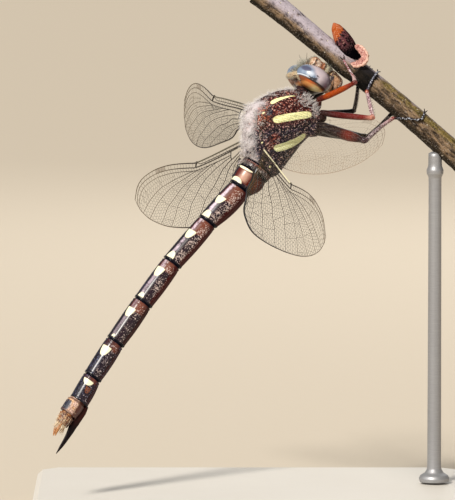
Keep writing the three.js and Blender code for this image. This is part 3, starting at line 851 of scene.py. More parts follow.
def segment_finish(name, long, colours):
    """Glossy dark shell with a red-brown band, cream spots, black joints and pale grains; its lilac sheen
    is a painted reflection, and the band's lighter middle, the pale patch on S2 and the lilac streaks are
    painted highlights.
    """
    sheet = Sheet(f"shell of {name}")
    x, angle, _ = sheet.place()
    waver = sheet.noise(0.8, 3)
    cloud = sheet.noise(1.7, 3, seed=12)
    fine = sheet.noise(0.12, 3, 0.65, seed=5)
    grit = sheet.noise(0.19, 3, 0.75, seed=8)
    across = angle + (waver - 0.5) * 16
    if name in ("s9", "s10"):
        return tail_end_finish(sheet, name, waver, fine, grit)
    sheet.ground = sheet.mix(across.within(20, 108, 26), colours.black, colours.umber)
    # Lilac sheen over the upper side: a painted reflection of the sky.
    sheet.paint(across.within(4, 62, 26) * cloud.soft(0.5, 0.66) * 0.4, (70, 66, 98))
    sheet.paint(fine.soft(0.54, 0.66) * 0.28, (96, 68, 84))
    front = SPOTS.get(name, ((long * 0.3, 0, 0, 40), (0, 0, 0)))[0]
    reach = front[0] + front[1] * (0.25 if name in ("s2", "s3") else 0.12)
    band = (x + (waver - 0.5) * 0.6).within(0.0, reach, 0.3) * across.within(16, 118, 20)
    # The band is painted lighter in the middle of the side: a painted highlight.
    band_colour = sheet.mix(across.within(56, 96, 30) * 0.6, colours.red_brown, (140, 84, 64))
    sheet.paint(band * (fine * 0.5 + 0.6), band_colour)
    early = name in ("s2", "s3", "s4", "s5")
    belly = across.soft(98, 112) if early else across.soft(108, 124)
    sheet.paint(belly * 0.9, (66, 14, 14) if early else colours.belly)
    sheet.paint(across.soft(152, 168) * 0.6, colours.black)
    strength, few, highlight_strength = GRAINS[name]
    if name in ("s7", "s8"):
        sheet.paint(across.soft(100, 70) * 0.6, colours.black)
        sheet.paint(grit.soft(0.56, 0.62) * 0.6, (104, 112, 148))
    speck = across.within(70, 112, 22) * (grit + cloud * 0.3).soft(0.68 + few, 0.72 + few)
    speck = speck * x.soft(0.2, 0.6)
    if name == "s1":
        sheet.paint(fine.soft(0.45, 0.65) * 0.6, (150, 120, 112))
    if name == "s2":
        warm = across.within(16, 124, 24) * x.within(0.4, 2.2, 0.3)
        sheet.paint(warm, (92, 30, 20))
        # A pale patch on the side of S2: a painted highlight.
        painted_sheen = across.within(40, 74, 24) * x.within(0.5, 2.0, 0.5)
        sheet.paint(painted_sheen * 0.55, (240, 196, 170))
    sheet.paint(speck * strength * 0.9, colours.speckle)
    # A pale lilac streak along the upper side: a painted highlight.
    lilac_highlight = across.within(26, 46, 12) * (cloud * 0.5 + fine * 0.5).soft(0.36, 0.56)
    sheet.paint(lilac_highlight * highlight_strength, (226, 208, 222))
    if name in SPOTS:
        (start, size, half, turn_1), (size_2, half_2, turn_2) = SPOTS[name]
        spot = half_moon(x, (angle - turn_1) * ARC, start, size, half)
        if size_2:
            rear = half_moon(x, (angle - turn_2) * ARC, long - 0.22, -size_2, half_2)
            spot = spot.math("MAXIMUM", rear)
        sheet.paint(spot, sheet.mix(fine * 0.25, colours.cream, (236, 214, 160)))
    if name == "s8":
        patch = half_moon(x, (angle - 84) * ARC, 1.5, 0.9, 0.4) * fine.soft(0.6, 0.5)
        sheet.paint(patch * 0.8, (134, 76, 44))
    joint = x.soft(0.06, 0.0) + x.soft(long - 0.2, long - 0.14)
    sheet.paint(joint.math("MINIMUM", 1), (12, 12, 24))
    rough = fine * 0.16 + 0.2 + belly * 0.15
    gloss = {"Coat_Weight": belly * -0.36 + 0.4, "Coat_Roughness": 0.24, "Specular_IOR_Level": 0.1}
    return sheet.finish(rough, grit + fine * 0.6, 0.03, **gloss)


def tail_end_finish(sheet, name, waver, fine, grit):
    """Tan and orange shell of the last two segments."""
    x, angle, _ = sheet.place()
    if name == "s9":
        sheet.ground = sheet.mix(waver.soft(0.42, 0.58), (226, 192, 176), (216, 168, 116))
        sheet.paint(grit.soft(0.46, 0.56) * 0.75, (112, 70, 52))
        dark = (angle + (waver - 0.5) * 50).soft(62, 46) * (x + (waver - 0.5) * 0.8).soft(0.25, 0.5)
        sheet.paint(dark, (28, 30, 50))
        sheet.paint((angle + waver * 30).soft(104, 120), (78, 28, 14))
        edge = x.within(-0.2, 0.16, 0.1) + x.soft(1.72, 1.86)
        sheet.paint(edge.math("MINIMUM", 1) * 0.7, (84, 48, 36))
    else:
        sheet.ground = sheet.mix(waver.soft(0.4, 0.6), (160, 92, 38), (84, 36, 18))
        sheet.paint(grit.soft(0.52, 0.62), (226, 190, 146))
        sheet.paint(fine.soft(0.5, 0.4), (50, 20, 14))
        sheet.paint(angle.soft(96, 120) * 0.9, (62, 22, 10))
    return sheet.finish(fine * 0.2 + 0.35, grit + fine, 0.05, Coat_Weight=0.2, Coat_Roughness=0.25)


# ---- tail tip ----
# The right cercus in body axes, and its radii as (share, mm).
CERCUS = [(-52.2, 0.4, -3.55), (-52.95, 0.5, -3.55), (-53.7, 0.55, -3.6), (-54.6, 0.42, -3.88)]
CERCUS_GIRTH = [(0, 0.2), (0.3, 0.24), (0.6, 0.26), (0.9, 0.12), (1, 0.02)]
# The blade's line, forward and up, and its half height as (share, mm).
BLADE = [(-48.4, -5.15), (-50.0, -5.18), (-51.6, -5.24), (-53.2, -5.48), (-54.8, -5.6), (-56.4, -5.64)]
BLADE_GIRTH = [(0, 0.3), (0.12, 0.56), (0.35, 0.6), (0.5, 0.5), (0.62, 0.36), (0.85, 0.22), (1, 0.04)]


def build_tail():
    """Cerci and the egg-laying blade."""
    sheet = Sheet("cercus shell")
    fine = sheet.noise(0.1, 3)
    sheet.ground = sheet.mix(fine.soft(0.4, 0.6), (120, 62, 26), (206, 150, 96))
    finish = sheet.finish(0.45, fine, 0.02)
    for name, side in SIDES.items():
        mould = Mould()
        mould.tube(in_body(curve(CERCUS, 20) * (1, side, 1)), widths(CERCUS_GIRTH, 20), 14)
        mould.piece(f"cercus_{name}_tip", finish, (f"cercus_{name}",), "tail_tan")
    mould = Mould()
    for side in SIDES.values():
        line = curve([(f, side * 0.17 * (1 - 0.8 * i / 5), u) for i, (f, u) in enumerate(BLADE)], 44)
        mould.loft(
            [
                ring(in_body(at), AXES[1] * max(h * 0.42, 0.02), AXES[2] * h, 20, 1.7)
                for at, h in zip(line, widths(BLADE_GIRTH, 44))
            ]
        )
    mould.piece("ovipositor_blade", blade_finish(), ("ovipositor",), "dark_shell")


def blade_finish():
    """Near black shell, warmer at the blade's root."""
    sheet = Sheet("blade shell")
    fine = sheet.noise(0.15, 3)
    root = sheet.body()[0].soft(-52.5, -49.5)
    sheet.ground = sheet.mix(fine, (8, 4, 8), (22, 10, 12))
    sheet.paint(root * 0.8, (58, 18, 12))
    return sheet.finish(fine * 0.2 + 0.2, fine, 0.02, Specular_IOR_Level=0.12)


# ---- head ----
def lean(side):
    """The axes of one eye: the head's, with the tops of the eyes leaning together."""
    return HEAD_AXES @ turn(HEAD_AXES[0], -side * EYE_LEAN).T


def eye_rings(side, places, grow, count):
    """Rings of one eye's ellipsoid across the head's forward axis."""
    axes = lean(side)
    centre = in_head(EYE_OFFSET * (1, side, 1)) + axes[0] * (FAR_EYE_AHEAD if side < 0 else 0)
    rings = []
    for f, g in zip(places, grow):
        size = math.sqrt(max(1 - (f / EYE_SEMI[0]) ** 2, 1e-4))
        middle = centre + axes[0] * (f - EYE_OFFSET[0])
        wide, tall = (EYE_SEMI[1] * size + g), (EYE_SEMI[2] * size + g)
        rings.append(ring(middle, axes[1] * side * wide, axes[2] * tall, count))
    return rings


def build_eyes(colours):
    """The two large eyes, closed behind the cheek's rim."""
    for name, side in SIDES.items():
        mould = Mould()
        a = np.linspace(math.acos(0.999), math.acos(EYE_REAR / EYE_SEMI[0]), 46)
        places = np.concatenate([EYE_SEMI[0] * np.cos(a), [EYE_REAR - 0.15]])
        grow = np.zeros(len(places))
        grow[-1] = -0.12
        mould.loft(eye_rings(side, places, grow, 96))
        mould.piece(f"eye_{name}_lens", eye_finish(side, colours), (f"eye_{name}",), "eye")


# Dark streaks of an eye: middle, and half length and height.
EYE_STREAKS = [
    ((-0.66, 0.55), (0.15, 0.7)), ((-0.44, 0.2), (0.12, 0.3)), ((-0.04, 0.1), (0.09, 0.26)),
]


def eye_finish(side, colours):
    """Blue-grey eye, dusky at the top, pinkish in front and slate below, with fine facets; its highlights
    and the dark line at its rear rim are painted light and shade.
    """
    sheet = Sheet(f"eye of side {side}")
    f, _, u = sheet.head()
    cloud = sheet.noise(1.0, 2)
    rise = u + (cloud - 0.5) * 0.9
    front = (f * 0.9 - rise * 0.9 + 0.55).soft(-0.35, 0.6)
    sheet.ground = sheet.mix(front, colours.eye, colours.eye_front)
    sheet.paint((rise + f * 0.3).soft(-0.3, -1.7), colours.eye_low)
    # A pale soft patch on the upper part of the eye: a painted highlight.
    sheet.paint(oval(f, u, (-0.15, 1.2), (0.5, 0.6)).soft(1.3, 0.1) * 0.5, (226, 234, 246))
    sheet.paint(oval(f, u, (0.35, 1.85), (0.42, 0.6)).soft(1.5, 0.4) * 0.8, colours.eye_top)
    # A thin white line along the upper rear edge of the eye: a painted highlight.
    edge = f.within(EYE_REAR + 0.16, EYE_REAR + 0.26, 0.06) * u.soft(0.3, 0.6)
    sheet.paint(edge * 0.8, (240, 242, 246))
    ff = f + (sheet.noise(0.22, 3, 0.7, seed=4) - 0.5) * 0.9
    uu = u + (sheet.noise(0.3, 3, 0.7, seed=9) - 0.5) * 1.2
    for middle, reach in EYE_STREAKS:
        sheet.paint(oval(ff, uu, middle, reach).soft(1.2, 0.7) * 0.95, (22, 15, 26))
    # Dark band at the eye's rear rim, where it meets the cheek: painted shade of the crease.
    rim = f.soft(EYE_REAR + 0.16, EYE_REAR + 0.03)
    sheet.paint(rim * 0.85, (36, 24, 30))
    facets = sheet.cells(0.05, randomness=0.2)
    return sheet.finish(
        0.34, facets, 0.004, Coat_Weight=0.6, Coat_Roughness=0.1, Specular_IOR_Level=0.5
    )


# The cheek's rim round an eye, as (mm ahead of the eye's rear, growth).
CHEEK_RIM = [(0.1, -0.2), (0.12, -0.04), (0.06, 0.06), (-0.06, 0.08), (-0.2, 0.05), (-0.4, 0.02)]


def lump(mould, centre, semi, count=40, power=2.0, shape=None):
    """An ellipsoid in the head's axes."""
    mould.blob(in_head(centre), HEAD_AXES, semi, (0, 0, 0), count, power, shape)


def build_head():
    """One skin over the head's capsule and the two cheeks."""
    mould = Mould()
    lump(mould, (-0.3, 0, -0.5), (1.3, 3.0, 2.2), 64, 2.1)
    lump(mould, (0.1, 0, 1.0), (1.1, 0.8, 0.95))
    lump(mould, (-0.5, -0.2, 2.0), (0.52, 2.4, 0.58), 48, 2.8)
    a = np.linspace(math.acos((EYE_REAR - 0.5) / EYE_SEMI[0]), math.acos(-0.998), 14)
    places = [EYE_REAR + f for f, _ in CHEEK_RIM] + list(EYE_SEMI[0] * np.cos(a))
    grow = [g for _, g in CHEEK_RIM] + [0.0] * len(a)
    for side in SIDES.values():
        mould.loft(eye_rings(side, places, grow, 72))
    mould.piece("head_skin", head_finish(), ("head",), "face_tan", voxel=0.06, relax=2)


# Bands back from the rim of an eye, as (share of their width, colour) stops; the darkest stops next to the
# eye are painted shade of the crease between eye and cheek.
RIM_BANDS = [
    (0, (34, 20, 16)), (0.07, (60, 26, 16)), (0.14, (200, 92, 32)), (0.28, (190, 98, 42)),
    (0.42, (218, 150, 84)), (0.6, (204, 140, 80)), (0.76, (124, 68, 36)), (0.92, (34, 20, 16)),
]
LOW_RIM_BANDS = [
    (0, (34, 22, 16)), (0.13, (50, 27, 18)), (0.22, (132, 78, 38)), (0.34, (208, 180, 120)),
    (0.58, (228, 214, 166)), (0.74, (184, 170, 114)), (0.86, (72, 52, 34)), (0.97, (26, 18, 14)),
]


def head_finish():
    """Orange and tan cheeks, speckled crown and dark back of the head; the far cheek is darkened with
    painted shade, and the darkest band next to each eye is painted shade of the crease.
    """
    sheet = Sheet("head shell")
    f, r, u = sheet.head()
    cloud = sheet.noise(0.7, 3)
    fine = sheet.noise(0.16, 3, 0.7, seed=4)
    uu = u + (cloud - 0.5) * 0.9
    off = (f * -1 + EYE_REAR + (cloud - 0.5) * 0.12) / 1.1
    rims = (sheet.ramp(off, bands) for bands in (RIM_BANDS, LOW_RIM_BANDS))
    sheet.ground = sheet.mix(uu.soft(0.5, -0.7), *rims)
    far = uu.soft(0.9, 1.5)
    sheet.paint(far * 0.8, (118, 62, 34))
    # The far (left) cheek is painted darker than the near one, orange next to the eye and near black
    # behind: painted shade of the far side.
    left = r.soft(-0.6, -1.3)
    far_cheek_shade = sheet.mix((off + (fine - 0.5) * 0.2).soft(0.08, 0.4), (150, 80, 28), (30, 15, 12))
    sheet.paint(left * 0.95, far_cheek_shade)
    sheet.paint(far * abs(r).soft(1.7, 1.2), (50, 28, 22))
    top = u + (cloud - 0.5) * 0.4 - r.soft(-1.4, -1.9) * 0.4
    sheet.paint(top.soft(1.3, 1.5) * abs(r).soft(2.7, 2.4), (30, 18, 16))
    crown = abs(r).soft(2.6, 2.2) * top.soft(1.5, 1.62)
    speckled = sheet.mix(fine.soft(0.42, 0.54), (96, 64, 46), (214, 196, 160))
    speckled = sheet.mix(cloud.soft(0.5, 0.6) * 0.6, speckled, (206, 158, 110))
    sheet.paint(crown, speckled)
    back = abs(r).soft(2.5, 1.5) * u.soft(0.9, 0.2) * f.soft(-0.2, -0.8)
    sheet.paint(back * 0.95, (26, 16, 18))
    return sheet.finish(fine * 0.2 + 0.3, fine, 0.02, Coat_Weight=0.3, Coat_Roughness=0.2)


def furrowed(depth, width):
    """A shape for a blob that presses a furrow down its middle."""

    def shape(unit):
        pressed = unit.copy()
        pressed[..., 0] *= 1 - depth * hump(unit[..., 1], 0, width)
        return pressed

    return shape


# The right jaw's dark edge in head axes, and its radii as (share, mm).
JAW_EDGE = [
    (2.2, 0.9, -2.55), (2.42, 1.3, -2.66), (2.6, 1.4, -3.2), (2.48, 1.42, -3.75),
    (2.22, 1.42, -4.2), (1.65, 1.38, -4.4), (1.2, 1.2, -4.2), (0.7, 1.1, -3.9),
]
JAW_GIRTH = [(0, 0.13), (0.3, 0.17), (0.7, 0.19), (1, 0.12)]


def build_face(colours):
    """Brow and nose, upper lip, and jaws."""
    mould = Mould()
    lump(mould, (2.45, 0, 0.28), (1.08, 1.5, 0.95), 64, 2.5, furrowed(0.22, 0.2))
    lump(mould, (2.5, 0, -1.25), (1.0, 1.6, 0.98), 64, 2.5)
    lump(mould, (2.3, 0, -0.45), (1.08, 1.5, 1.1), 48, 2.4)
    lump(mould, (1.35, 0, 0.95), (0.8, 0.95, 0.72))
    mould.piece("face_brow", brow_finish(), ("face",), "face_orange", voxel=0.05, relax=6)
    mould = Mould()
    lump(mould, (2.4, 0, -2.95), (0.85, 1.45, 0.78), 48, 2.4, furrowed(0.1, 0.12))
    mould.piece("labrum_lip", mouth_finish("lip shell", colours.lip), ("labrum",), "face_tan")
    mould = Mould()
    lump(mould, (1.1, 0, -3.3), (1.3, 1.15, 0.95), 44)
    for side in SIDES.values():
        lump(mould, (1.75, side * 1.02, -3.3), (0.85, 0.48, 1.02), 40, 2.5)
        lump(mould, (0.9, side * 0.95, -3.9), (0.95, 0.5, 0.36), 32)
        mould.tube(in_head(curve(JAW_EDGE, 40) * (1, side, 1)), widths(JAW_GIRTH, 40), 12, (1, 0, 0))
    finish = mouth_finish("jaw shell", colours.jaw)
    mould.piece("mouthparts_jaws", finish, ("mouthparts",), "face_tan", voxel=0.05, relax=2)


# Bands down the face as (height, colour) stops, from the chin to the crown.
FACE_BANDS = [
    (-2.3, (60, 36, 26)), (-2.1, (150, 126, 100)), (-1.9, (214, 210, 186)), (-1.25, (196, 190, 162)),
    (-1.1, (40, 34, 26)), (-0.95, (44, 32, 24)), (-0.84, (156, 74, 30)), (-0.52, (140, 68, 32)),
    (-0.4, (60, 34, 26)), (-0.22, (176, 140, 118)), (-0.05, (240, 224, 208)), (0.12, (206, 172, 150)),
    (0.32, (222, 200, 180)), (0.44, (30, 26, 20)), (0.62, (40, 34, 28)), (0.74, (226, 204, 178)),
    (0.92, (160, 104, 64)), (1.02, (206, 178, 148)), (1.3, (140, 118, 88)),
]


def brow_finish():
    """Orange-brown shell in pale and dark bands down the face."""
    sheet = Sheet("brow shell")
    f, _, u = sheet.head()
    cloud = sheet.noise(0.5, 3)
    low, high = FACE_BANDS[0][0], FACE_BANDS[-1][0]
    stops = [((at - low) / (high - low), colour) for at, colour in FACE_BANDS]
    sheet.ground = sheet.ramp((u + (cloud - 0.5) * 0.6 - low) / (high - low), stops)
    sheet.paint(f.soft(2.95, 3.2) * u.soft(-1.0, -0.6) * 0.85, (172, 92, 44))
    sheet.paint(sheet.noise(0.34, 3, 0.6, seed=8).soft(0.52, 0.6) * 0.75, (142, 84, 48))
    return freckled(sheet, cloud)


def mouth_finish(name, main):
    """Tan shell with brown rims round the mouth, and painted shade in the gap between lip and jaws."""
    sheet = Sheet(name)
    f, _, u = sheet.head()
    cloud = sheet.noise(0.5, 3)
    wobble = (cloud - 0.5) * 0.6
    sheet.ground = sheet.mix(cloud.soft(0.44, 0.6) * 0.5, main, (150, 92, 52))
    rims = (f + wobble).soft(2.45, 2.6) + sheet.place()[0].soft(0.3, 0.6)
    rims = rims + (f * 0.6 - u - 4.1 + wobble).within(-0.1, 0.04, 0.08)
    sheet.paint(rims.math("MINIMUM", 1) * 0.95, (58, 28, 14))
    # Blue-black where the lip and jaws part: painted shade of the gap between them.
    gap = (f + wobble * 0.5).soft(2.3, 2.1) * u.within(-3.0, -2.2, 0.2)
    sheet.paint(gap * 0.95, (10, 14, 34))
    return freckled(sheet, cloud)


def freckled(sheet, cloud):
    """Finishes a face shell with pale and brown freckles."""
    fine = sheet.noise(0.16, 3, 0.7, seed=2)
    sheet.paint(fine.soft(0.54, 0.64) * 0.55, (240, 218, 188))
    sheet.paint(fine.soft(0.44, 0.36) * 0.5, (58, 32, 20))
    return sheet.finish(fine * 0.2 + 0.32, fine + cloud, 0.04, Coat_Weight=0.2, Coat_Roughness=0.2)


# The right antenna in head axes, and its radii as (share, mm).
ANTENNA = [(1.6, 0.65, 1.1), (1.85, 0.8, 1.4), (2.1, 1.0, 1.7), (2.5, 1.25, 2.1), (2.9, 1.5, 2.4)]
BRISTLE = [(0, 0.24), (0.12, 0.24), (0.2, 0.16), (0.24, 0.18), (0.36, 0.12), (0.4, 0.05), (1, 0.015)]


def build_antennae():
    """Two stout joints and a fine jointed bristle on each side."""
    sheet = Sheet("antenna shell")
    x = sheet.place()[0]
    sheet.ground = sheet.mix(x.soft(0.2, 0.4), (150, 110, 76), (92, 80, 66))
    finish = sheet.finish(0.35, sheet.noise(0.08), 0.01)
    share = np.linspace(0, 1, 60)
    joints = hump((share * 7.5) % 1, 0.5, 0.12) * (share > 0.4)
    radii = widths(BRISTLE, 60) * (1 - 0.25 * joints)
    for name, side in SIDES.items():
        mould = Mould()
        mould.tube(in_head(curve(ANTENNA, 60) * (1, side, 1)), radii, 14, single(share))
        mould.piece(f"antenna_{name}_bristle", finish, (f"antenna_{name}",), "dark_shell")


# ---- twig ----
# The twig's middle line in world axes, its radii as (share, mm), and points between two of the line.
TWIG_LINE = [
    (1.05, 8.4, 75.85), (5.1, 8.0, 72.7), (10.5, 7.55, 68.25), (14.95, 7.2, 64.8),
    (21.55, 6.63, 59.5), (29.45, 6.1, 52.6), (31.9, 6.0, 50.45),
]
TWIG_GIRTH = [(0, 1.85), (0.15, 1.72), (0.34, 1.64), (0.42, 1.9), (0.48, 1.72), (0.75, 1.72), (1, 1.85)]
TWIG_FINE = 66


def smooth_twig():
    """The twig's middle line: a centripetal curve through its points."""
    p = np.array(TWIG_LINE)
    p = np.vstack([2 * p[0] - p[1], p, 2 * p[-1] - p[-2]])
    out = []
    for i in range(1, len(p) - 2):
        steps = np.linalg.norm(np.diff(p[i - 1 : i + 3], axis=0), axis=1) ** 0.5
        knots = np.concatenate([[0], np.cumsum(steps)])
        t = np.linspace(knots[1], knots[2], TWIG_FINE, endpoint=False)[:, None]

        def blend(a, b, j, k):
            """A straight run from a at knot j to b at knot k."""
            return ((knots[k] - t) * a + (t - knots[j]) * b) / (knots[k] - knots[j])

        a = [blend(p[i - 1 + j], p[i + j], j, j + 1) for j in range(3)]
        b = [blend(a[j], a[j + 1], j, j + 2) for j in range(2)]
        out.append(blend(b[0], b[1], 1, 2))
    return np.vstack([*out, p[-2]])


TWIG = smooth_twig()
TWIG_LENGTH = np.linalg.norm(np.diff(TWIG, axis=0), axis=1).sum()


def twig_section(mm):
    """Middle, near side, over side, way and radius of the twig at a distance along it."""
    share = min(max(mm / TWIG_LENGTH, 0), 1)
    at = along(TWIG, [share])[0]
    lower, upper = along(TWIG, [max(share - 0.01, 0), min(share + 0.01, 1)])
    way = unit(upper - lower)
    near = unit(np.array([0, -1.0, 0]) + way * way[1])
    over = np.cross(way, near)
    over = over if over[2] > 0 else -over
    return at, near, over, way, float(through(TWIG_GIRTH, share)[0, 0])


def beside_twig(mm, angle, clear):
    """A place beside the bark: along the twig, degrees up from its near side, and clearance."""
    at, near, over, _, radius = twig_section(mm)
    a = math.radians(angle)
    return at + (near * math.cos(a) + over * math.sin(a)) * (radius + clear)


TWIG_STEPS, TWIG_ROUND = 230, 96
# Rings of the cut ends: share of the radius, and mm beyond the end.
CUT_RINGS = ((0.9, 0.02), (0.6, 0.03), (0.3, 0.0), (0.08, -0.06))


def build_perch(colours):
    """The cut twig, its bud with a leaf scar, and the bark of both."""
    mould = Mould()
    count = TWIG_ROUND
    rings, places = [], []
    angle = np.linspace(-math.pi, math.pi, count, endpoint=False)
    for i in range(TWIG_STEPS + 1):
        mm = i / TWIG_STEPS * TWIG_LENGTH
        at, near, over, _, radius = twig_section(mm)
        base = ring(at, near * radius, over * radius, count)
        rough = 0.045 * grain(base, 0.9) + 0.03 * grain(base, 0.32, 9) - 0.05
        rough += 0.05 * hump(mm, 17.9, 0.4) * np.cos(angle - 0.6) - 0.04 * hump(mm, 18.8, 0.25)
        if i in (0, TWIG_STEPS):
            rough = rough - 0.06
        rings.append(base + (base - at) / radius * rough[:, None])
        places.append(np.column_stack([np.full(count, mm), np.degrees(angle), np.ones(count)]))
    for end, sign in ((0.0, -1), (TWIG_LENGTH, 1)):
        at, near, over, way, radius = twig_section(end)
        for part, out in CUT_RINGS:
            cut = ring(at + way * sign * out, near * part * radius, over * part * radius, count)
            place = np.tile((end, 0, part), (count, 1))
            spot = 0 if sign < 0 else len(rings)
            rings.insert(spot, cut)
            places.insert(spot, place)
    mould.loft(rings, places)
    mould.piece("perch_twig_bark", bark_finish(colours), ("perch_twig",), "bark")
    build_bud(colours)


def bark_finish(colours):
    """Grey-brown bark with olive patches, pores and a dark node; paler on top and on its upper left part as
    a painted highlight, and darker underneath as painted shade.
    """
    sheet = Sheet("bark")
    mm, angle, part = sheet.place()
    cloud = sheet.noise(1.6, 4, 0.6)
    turned = angle * (math.pi / 180)
    inputs = {0: mm * 0.3, 1: turned.math("COSINE") * 1.7, 2: turned.math("SINE") * 1.7}
    grain_space = sheet.node("ShaderNodeCombineXYZ", None, inputs)[0]
    streaks = sheet.noise(600, 5, 0.7, vector=grain_space, seed=3)
    fine = sheet.noise(0.2, 4, 0.74, seed=5)
    pores = sheet.cells(0.95)
    up = abs(angle) + (cloud - 0.5) * 40
    sheet.ground = sheet.mix(streaks.soft(0.4, 0.6), (40, 30, 24), colours.bark)
    # The top of the bark is painted paler, widely on the left part: a painted highlight where light falls.
    edge = mm.soft(24, 17) * 60
    lit_top = (up - edge).soft(34, 4) * (cloud * 0.4 + streaks * 0.6).soft(0.38, 0.5)
    sheet.paint(lit_top * 0.85, colours.bark_highlight)
    # A pale lilac-grey patch on the upper side of the left part: a painted highlight.
    pale = mm.soft(17.5, 12) * up.soft(106, 62) * cloud.soft(0.34, 0.46)
    sheet.paint(pale * streaks.soft(0.34, 0.5) * 0.9, (190, 180, 190))
    # Near black along the underside: painted shade.
    sheet.paint(up.soft(100, 136) * 0.9, (26, 24, 16))
    moss = mm.soft(21, 23.5) * up.within(14, 62, 22) * cloud.soft(0.38, 0.5)
    sheet.paint(moss * (fine.soft(0.4, 0.54) * 0.5 + 0.3), colours.moss)
    blotch = sheet.noise(420, 5, 0.65, vector=grain_space, seed=11).soft(0.5, 0.58) * mm.soft(21, 24)
    sheet.paint(blotch * 0.65, (52, 44, 34))
    sheet.paint(fine.soft(0.56, 0.64) * 0.6, (186, 174, 166))
    sheet.paint(fine.soft(0.46, 0.36) * 0.55, (24, 20, 16))
    sheet.paint(pores.soft(0.13, 0.07), (212, 202, 184))
    node = (mm + (streaks - 0.5) * 3.0).within(18.1, 21.4, 0.7) * up.soft(8, 34)
    sheet.paint(node * 0.95, (10, 10, 10))
    rings = sheet.node("ShaderNodeMath", {"operation": "SINE"}, [part * 42 + cloud * 3])[0]
    wood = sheet.mix(rings.soft(-0.6, 0.8) * 0.45, colours.wood, (150, 118, 78))
    sheet.paint(part.soft(0.98, 0.92), wood)
    relief = streaks * 0.8 + fine * 0.6 - pores.soft(0.2, 0.08) * 0.5
    return sheet.finish(fine * 0.25 + 0.6, relief, 0.2, Specular_IOR_Level=0.1)


# The bud's line in world axes, and its radii as (share, mm).
BUD_LINE = [
    (15.35, 7.2, 64.9), (14.9, 7.2, 65.9), (14.2, 7.1, 67.4),
    (13.4, 7.05, 69.0), (12.6, 7.0, 70.4), (12.0, 7.0, 71.5),
]
BUD_GIRTH = [(0, 1.25), (0.25, 1.42), (0.5, 1.4), (0.72, 1.18), (0.9, 0.72), (1, 0.12)]
# Scales of the bud: share of its length from and to, and angle round it.
BUD_SCALES = [
    (0.02, 0.5, 0), (0.05, 0.5, 180), (0.1, 0.62, 90), (0.1, 0.62, 270), (0.3, 0.8, 30),
    (0.32, 0.82, 205), (0.42, 0.92, 120), (0.45, 0.95, 300), (0.55, 1.0, 40), (0.6, 1.0, 220),
]


def build_bud(colours):
    """A pointed bud of overlapping scales, over a crescent leaf scar."""
    mould = Mould()
    line = curve(BUD_LINE, 30)
    share = np.linspace(0, 1, 30)
    girth = widths(BUD_GIRTH, 30)
    mould.tube(line, girth * 0.92, 40, single(share))
    tangent = unit(np.gradient(line, axis=0))
    side = unit(np.cross(tangent[0], (0, 1, 0)))
    for low, high, turned in BUD_SCALES:
        rings, places = [], []
        for s in np.linspace(0, 1, 14):
            t = low + (high - low) * s
            at = along(line, [min(t, 1)])[0]
            reach = float(np.interp(t, share, girth))
            wide = reach * 0.78 * (math.sin(s * 1.15 + 0.35) ** 0.8 * (1 - s**4) + 0.02)
            way = tangent[int(min(t, 1) * 29)]
            out = turn(way, turned) @ side
            out = unit(out - way * (out @ way))
            across = np.cross(way, out)
            middle = at + out * reach * (0.62 + 0.1 * s)
            rings.append(ring(middle, across * wide, out * reach * 0.36 * (1 - 0.3 * s), 18, 2.2))
            places.append(np.tile((t, s, 0), (18, 1)))
        mould.loft(rings, places)
    mould.piece("perch_bud_scales", bud_finish(), ("perch_bud",), "bud", voxel=0.07, relax=1)
    build_scar(colours)


def bud_finish():
    """Near black scales, orange-brown and freckled on the bud's left and tip."""
    sheet = Sheet("bud scales")
    t, s, _ = sheet.place()
    streaks = sheet.noise(0.3, 4, seed=2)
    fine = sheet.noise(0.12, 3, 0.7, seed=6)
    left = sheet.reach((13.2, 7, 69), (-0.85, 0, 0.5))
    lit = (left * 1.9 + (t - 0.5) * 1.8 + (streaks - 0.5) * 3.6).soft(1.5, 2.0)
    sheet.ground = sheet.mix(t.soft(0.4, 0.62) * streaks.soft(0.44, 0.56), (3, 2, 5), (96, 56, 60))
    sheet.paint(lit, (160, 74, 30))
    sheet.paint(lit * fine.soft(0.54, 0.62) * 0.8, (240, 184, 140))
    sheet.paint(s.soft(0.84, 1.0) * t.soft(0.4, 0.7) * 0.8, (228, 178, 156))
    sheet.paint(fine.soft(0.58, 0.66) * t.soft(0.34, 0.5) * 0.6, (196, 160, 160))
    return sheet.finish(0.85, streaks + fine, 0.05, Specular_IOR_Level=0.02)


# The leaf scar's line round the bud's foot, in world axes.
SCAR_LINE = [
    (15.0, 6.6, 68.25), (15.6, 6.0, 68.05), (16.2, 5.7, 67.5), (16.5, 5.5, 66.75),
    (16.1, 5.35, 66.0), (15.2, 5.3, 65.65), (14.4, 5.4, 65.85),
]


def build_scar(colours):
    """The pale torn collar round the near side of the bud's foot."""
    mould = Mould()
    radii = 0.5 * np.clip(1 - np.abs(np.linspace(-1, 1, 60)) ** 5, 0.05, 1)
    rings = tube_rings(curve(SCAR_LINE, 60), radii, 32, (0, 1, 0))
    middle = rings.mean(1, keepdims=True)
    a = np.linspace(0, 2 * math.pi, 32, endpoint=False)
    rim = np.broadcast_to(np.abs(np.sin(a)), rings.shape[:2])[..., None]
    bumps = 1 + 0.3 * grain(rings.reshape(-1, 3), 0.28).reshape(rings.shape[:2])[..., None]
    depth = 0.3 + 0.5 * rim**3
    shape = (rings - middle) * bumps * np.concatenate([rim * 0 + 1.12, depth, rim * 0 + 1.12], -1)
    mould.loft(middle + shape, np.concatenate([rim, rim * 0, rim * 0], -1))
    sheet = Sheet("leaf scar")
    cloud = sheet.noise(0.35, 4, 0.65)
    fine = sheet.noise(0.16, 3, 0.7, seed=6)
    inner = (sheet.place()[0] + (cloud - 0.5) * 0.6).soft(0.85, 0.6)
    sheet.ground = sheet.mix(inner, colours.scar, (190, 128, 116))
    sheet.paint(fine.soft(0.52, 0.6) * (inner * 0.6 + 0.3), (84, 36, 38))
    sheet.paint(fine.soft(0.46, 0.38) * 0.6, (250, 228, 214))
    mould.piece("perch_bud_leaf_scar", sheet.finish(0.65, cloud + fine, 0.1), (), "bud")


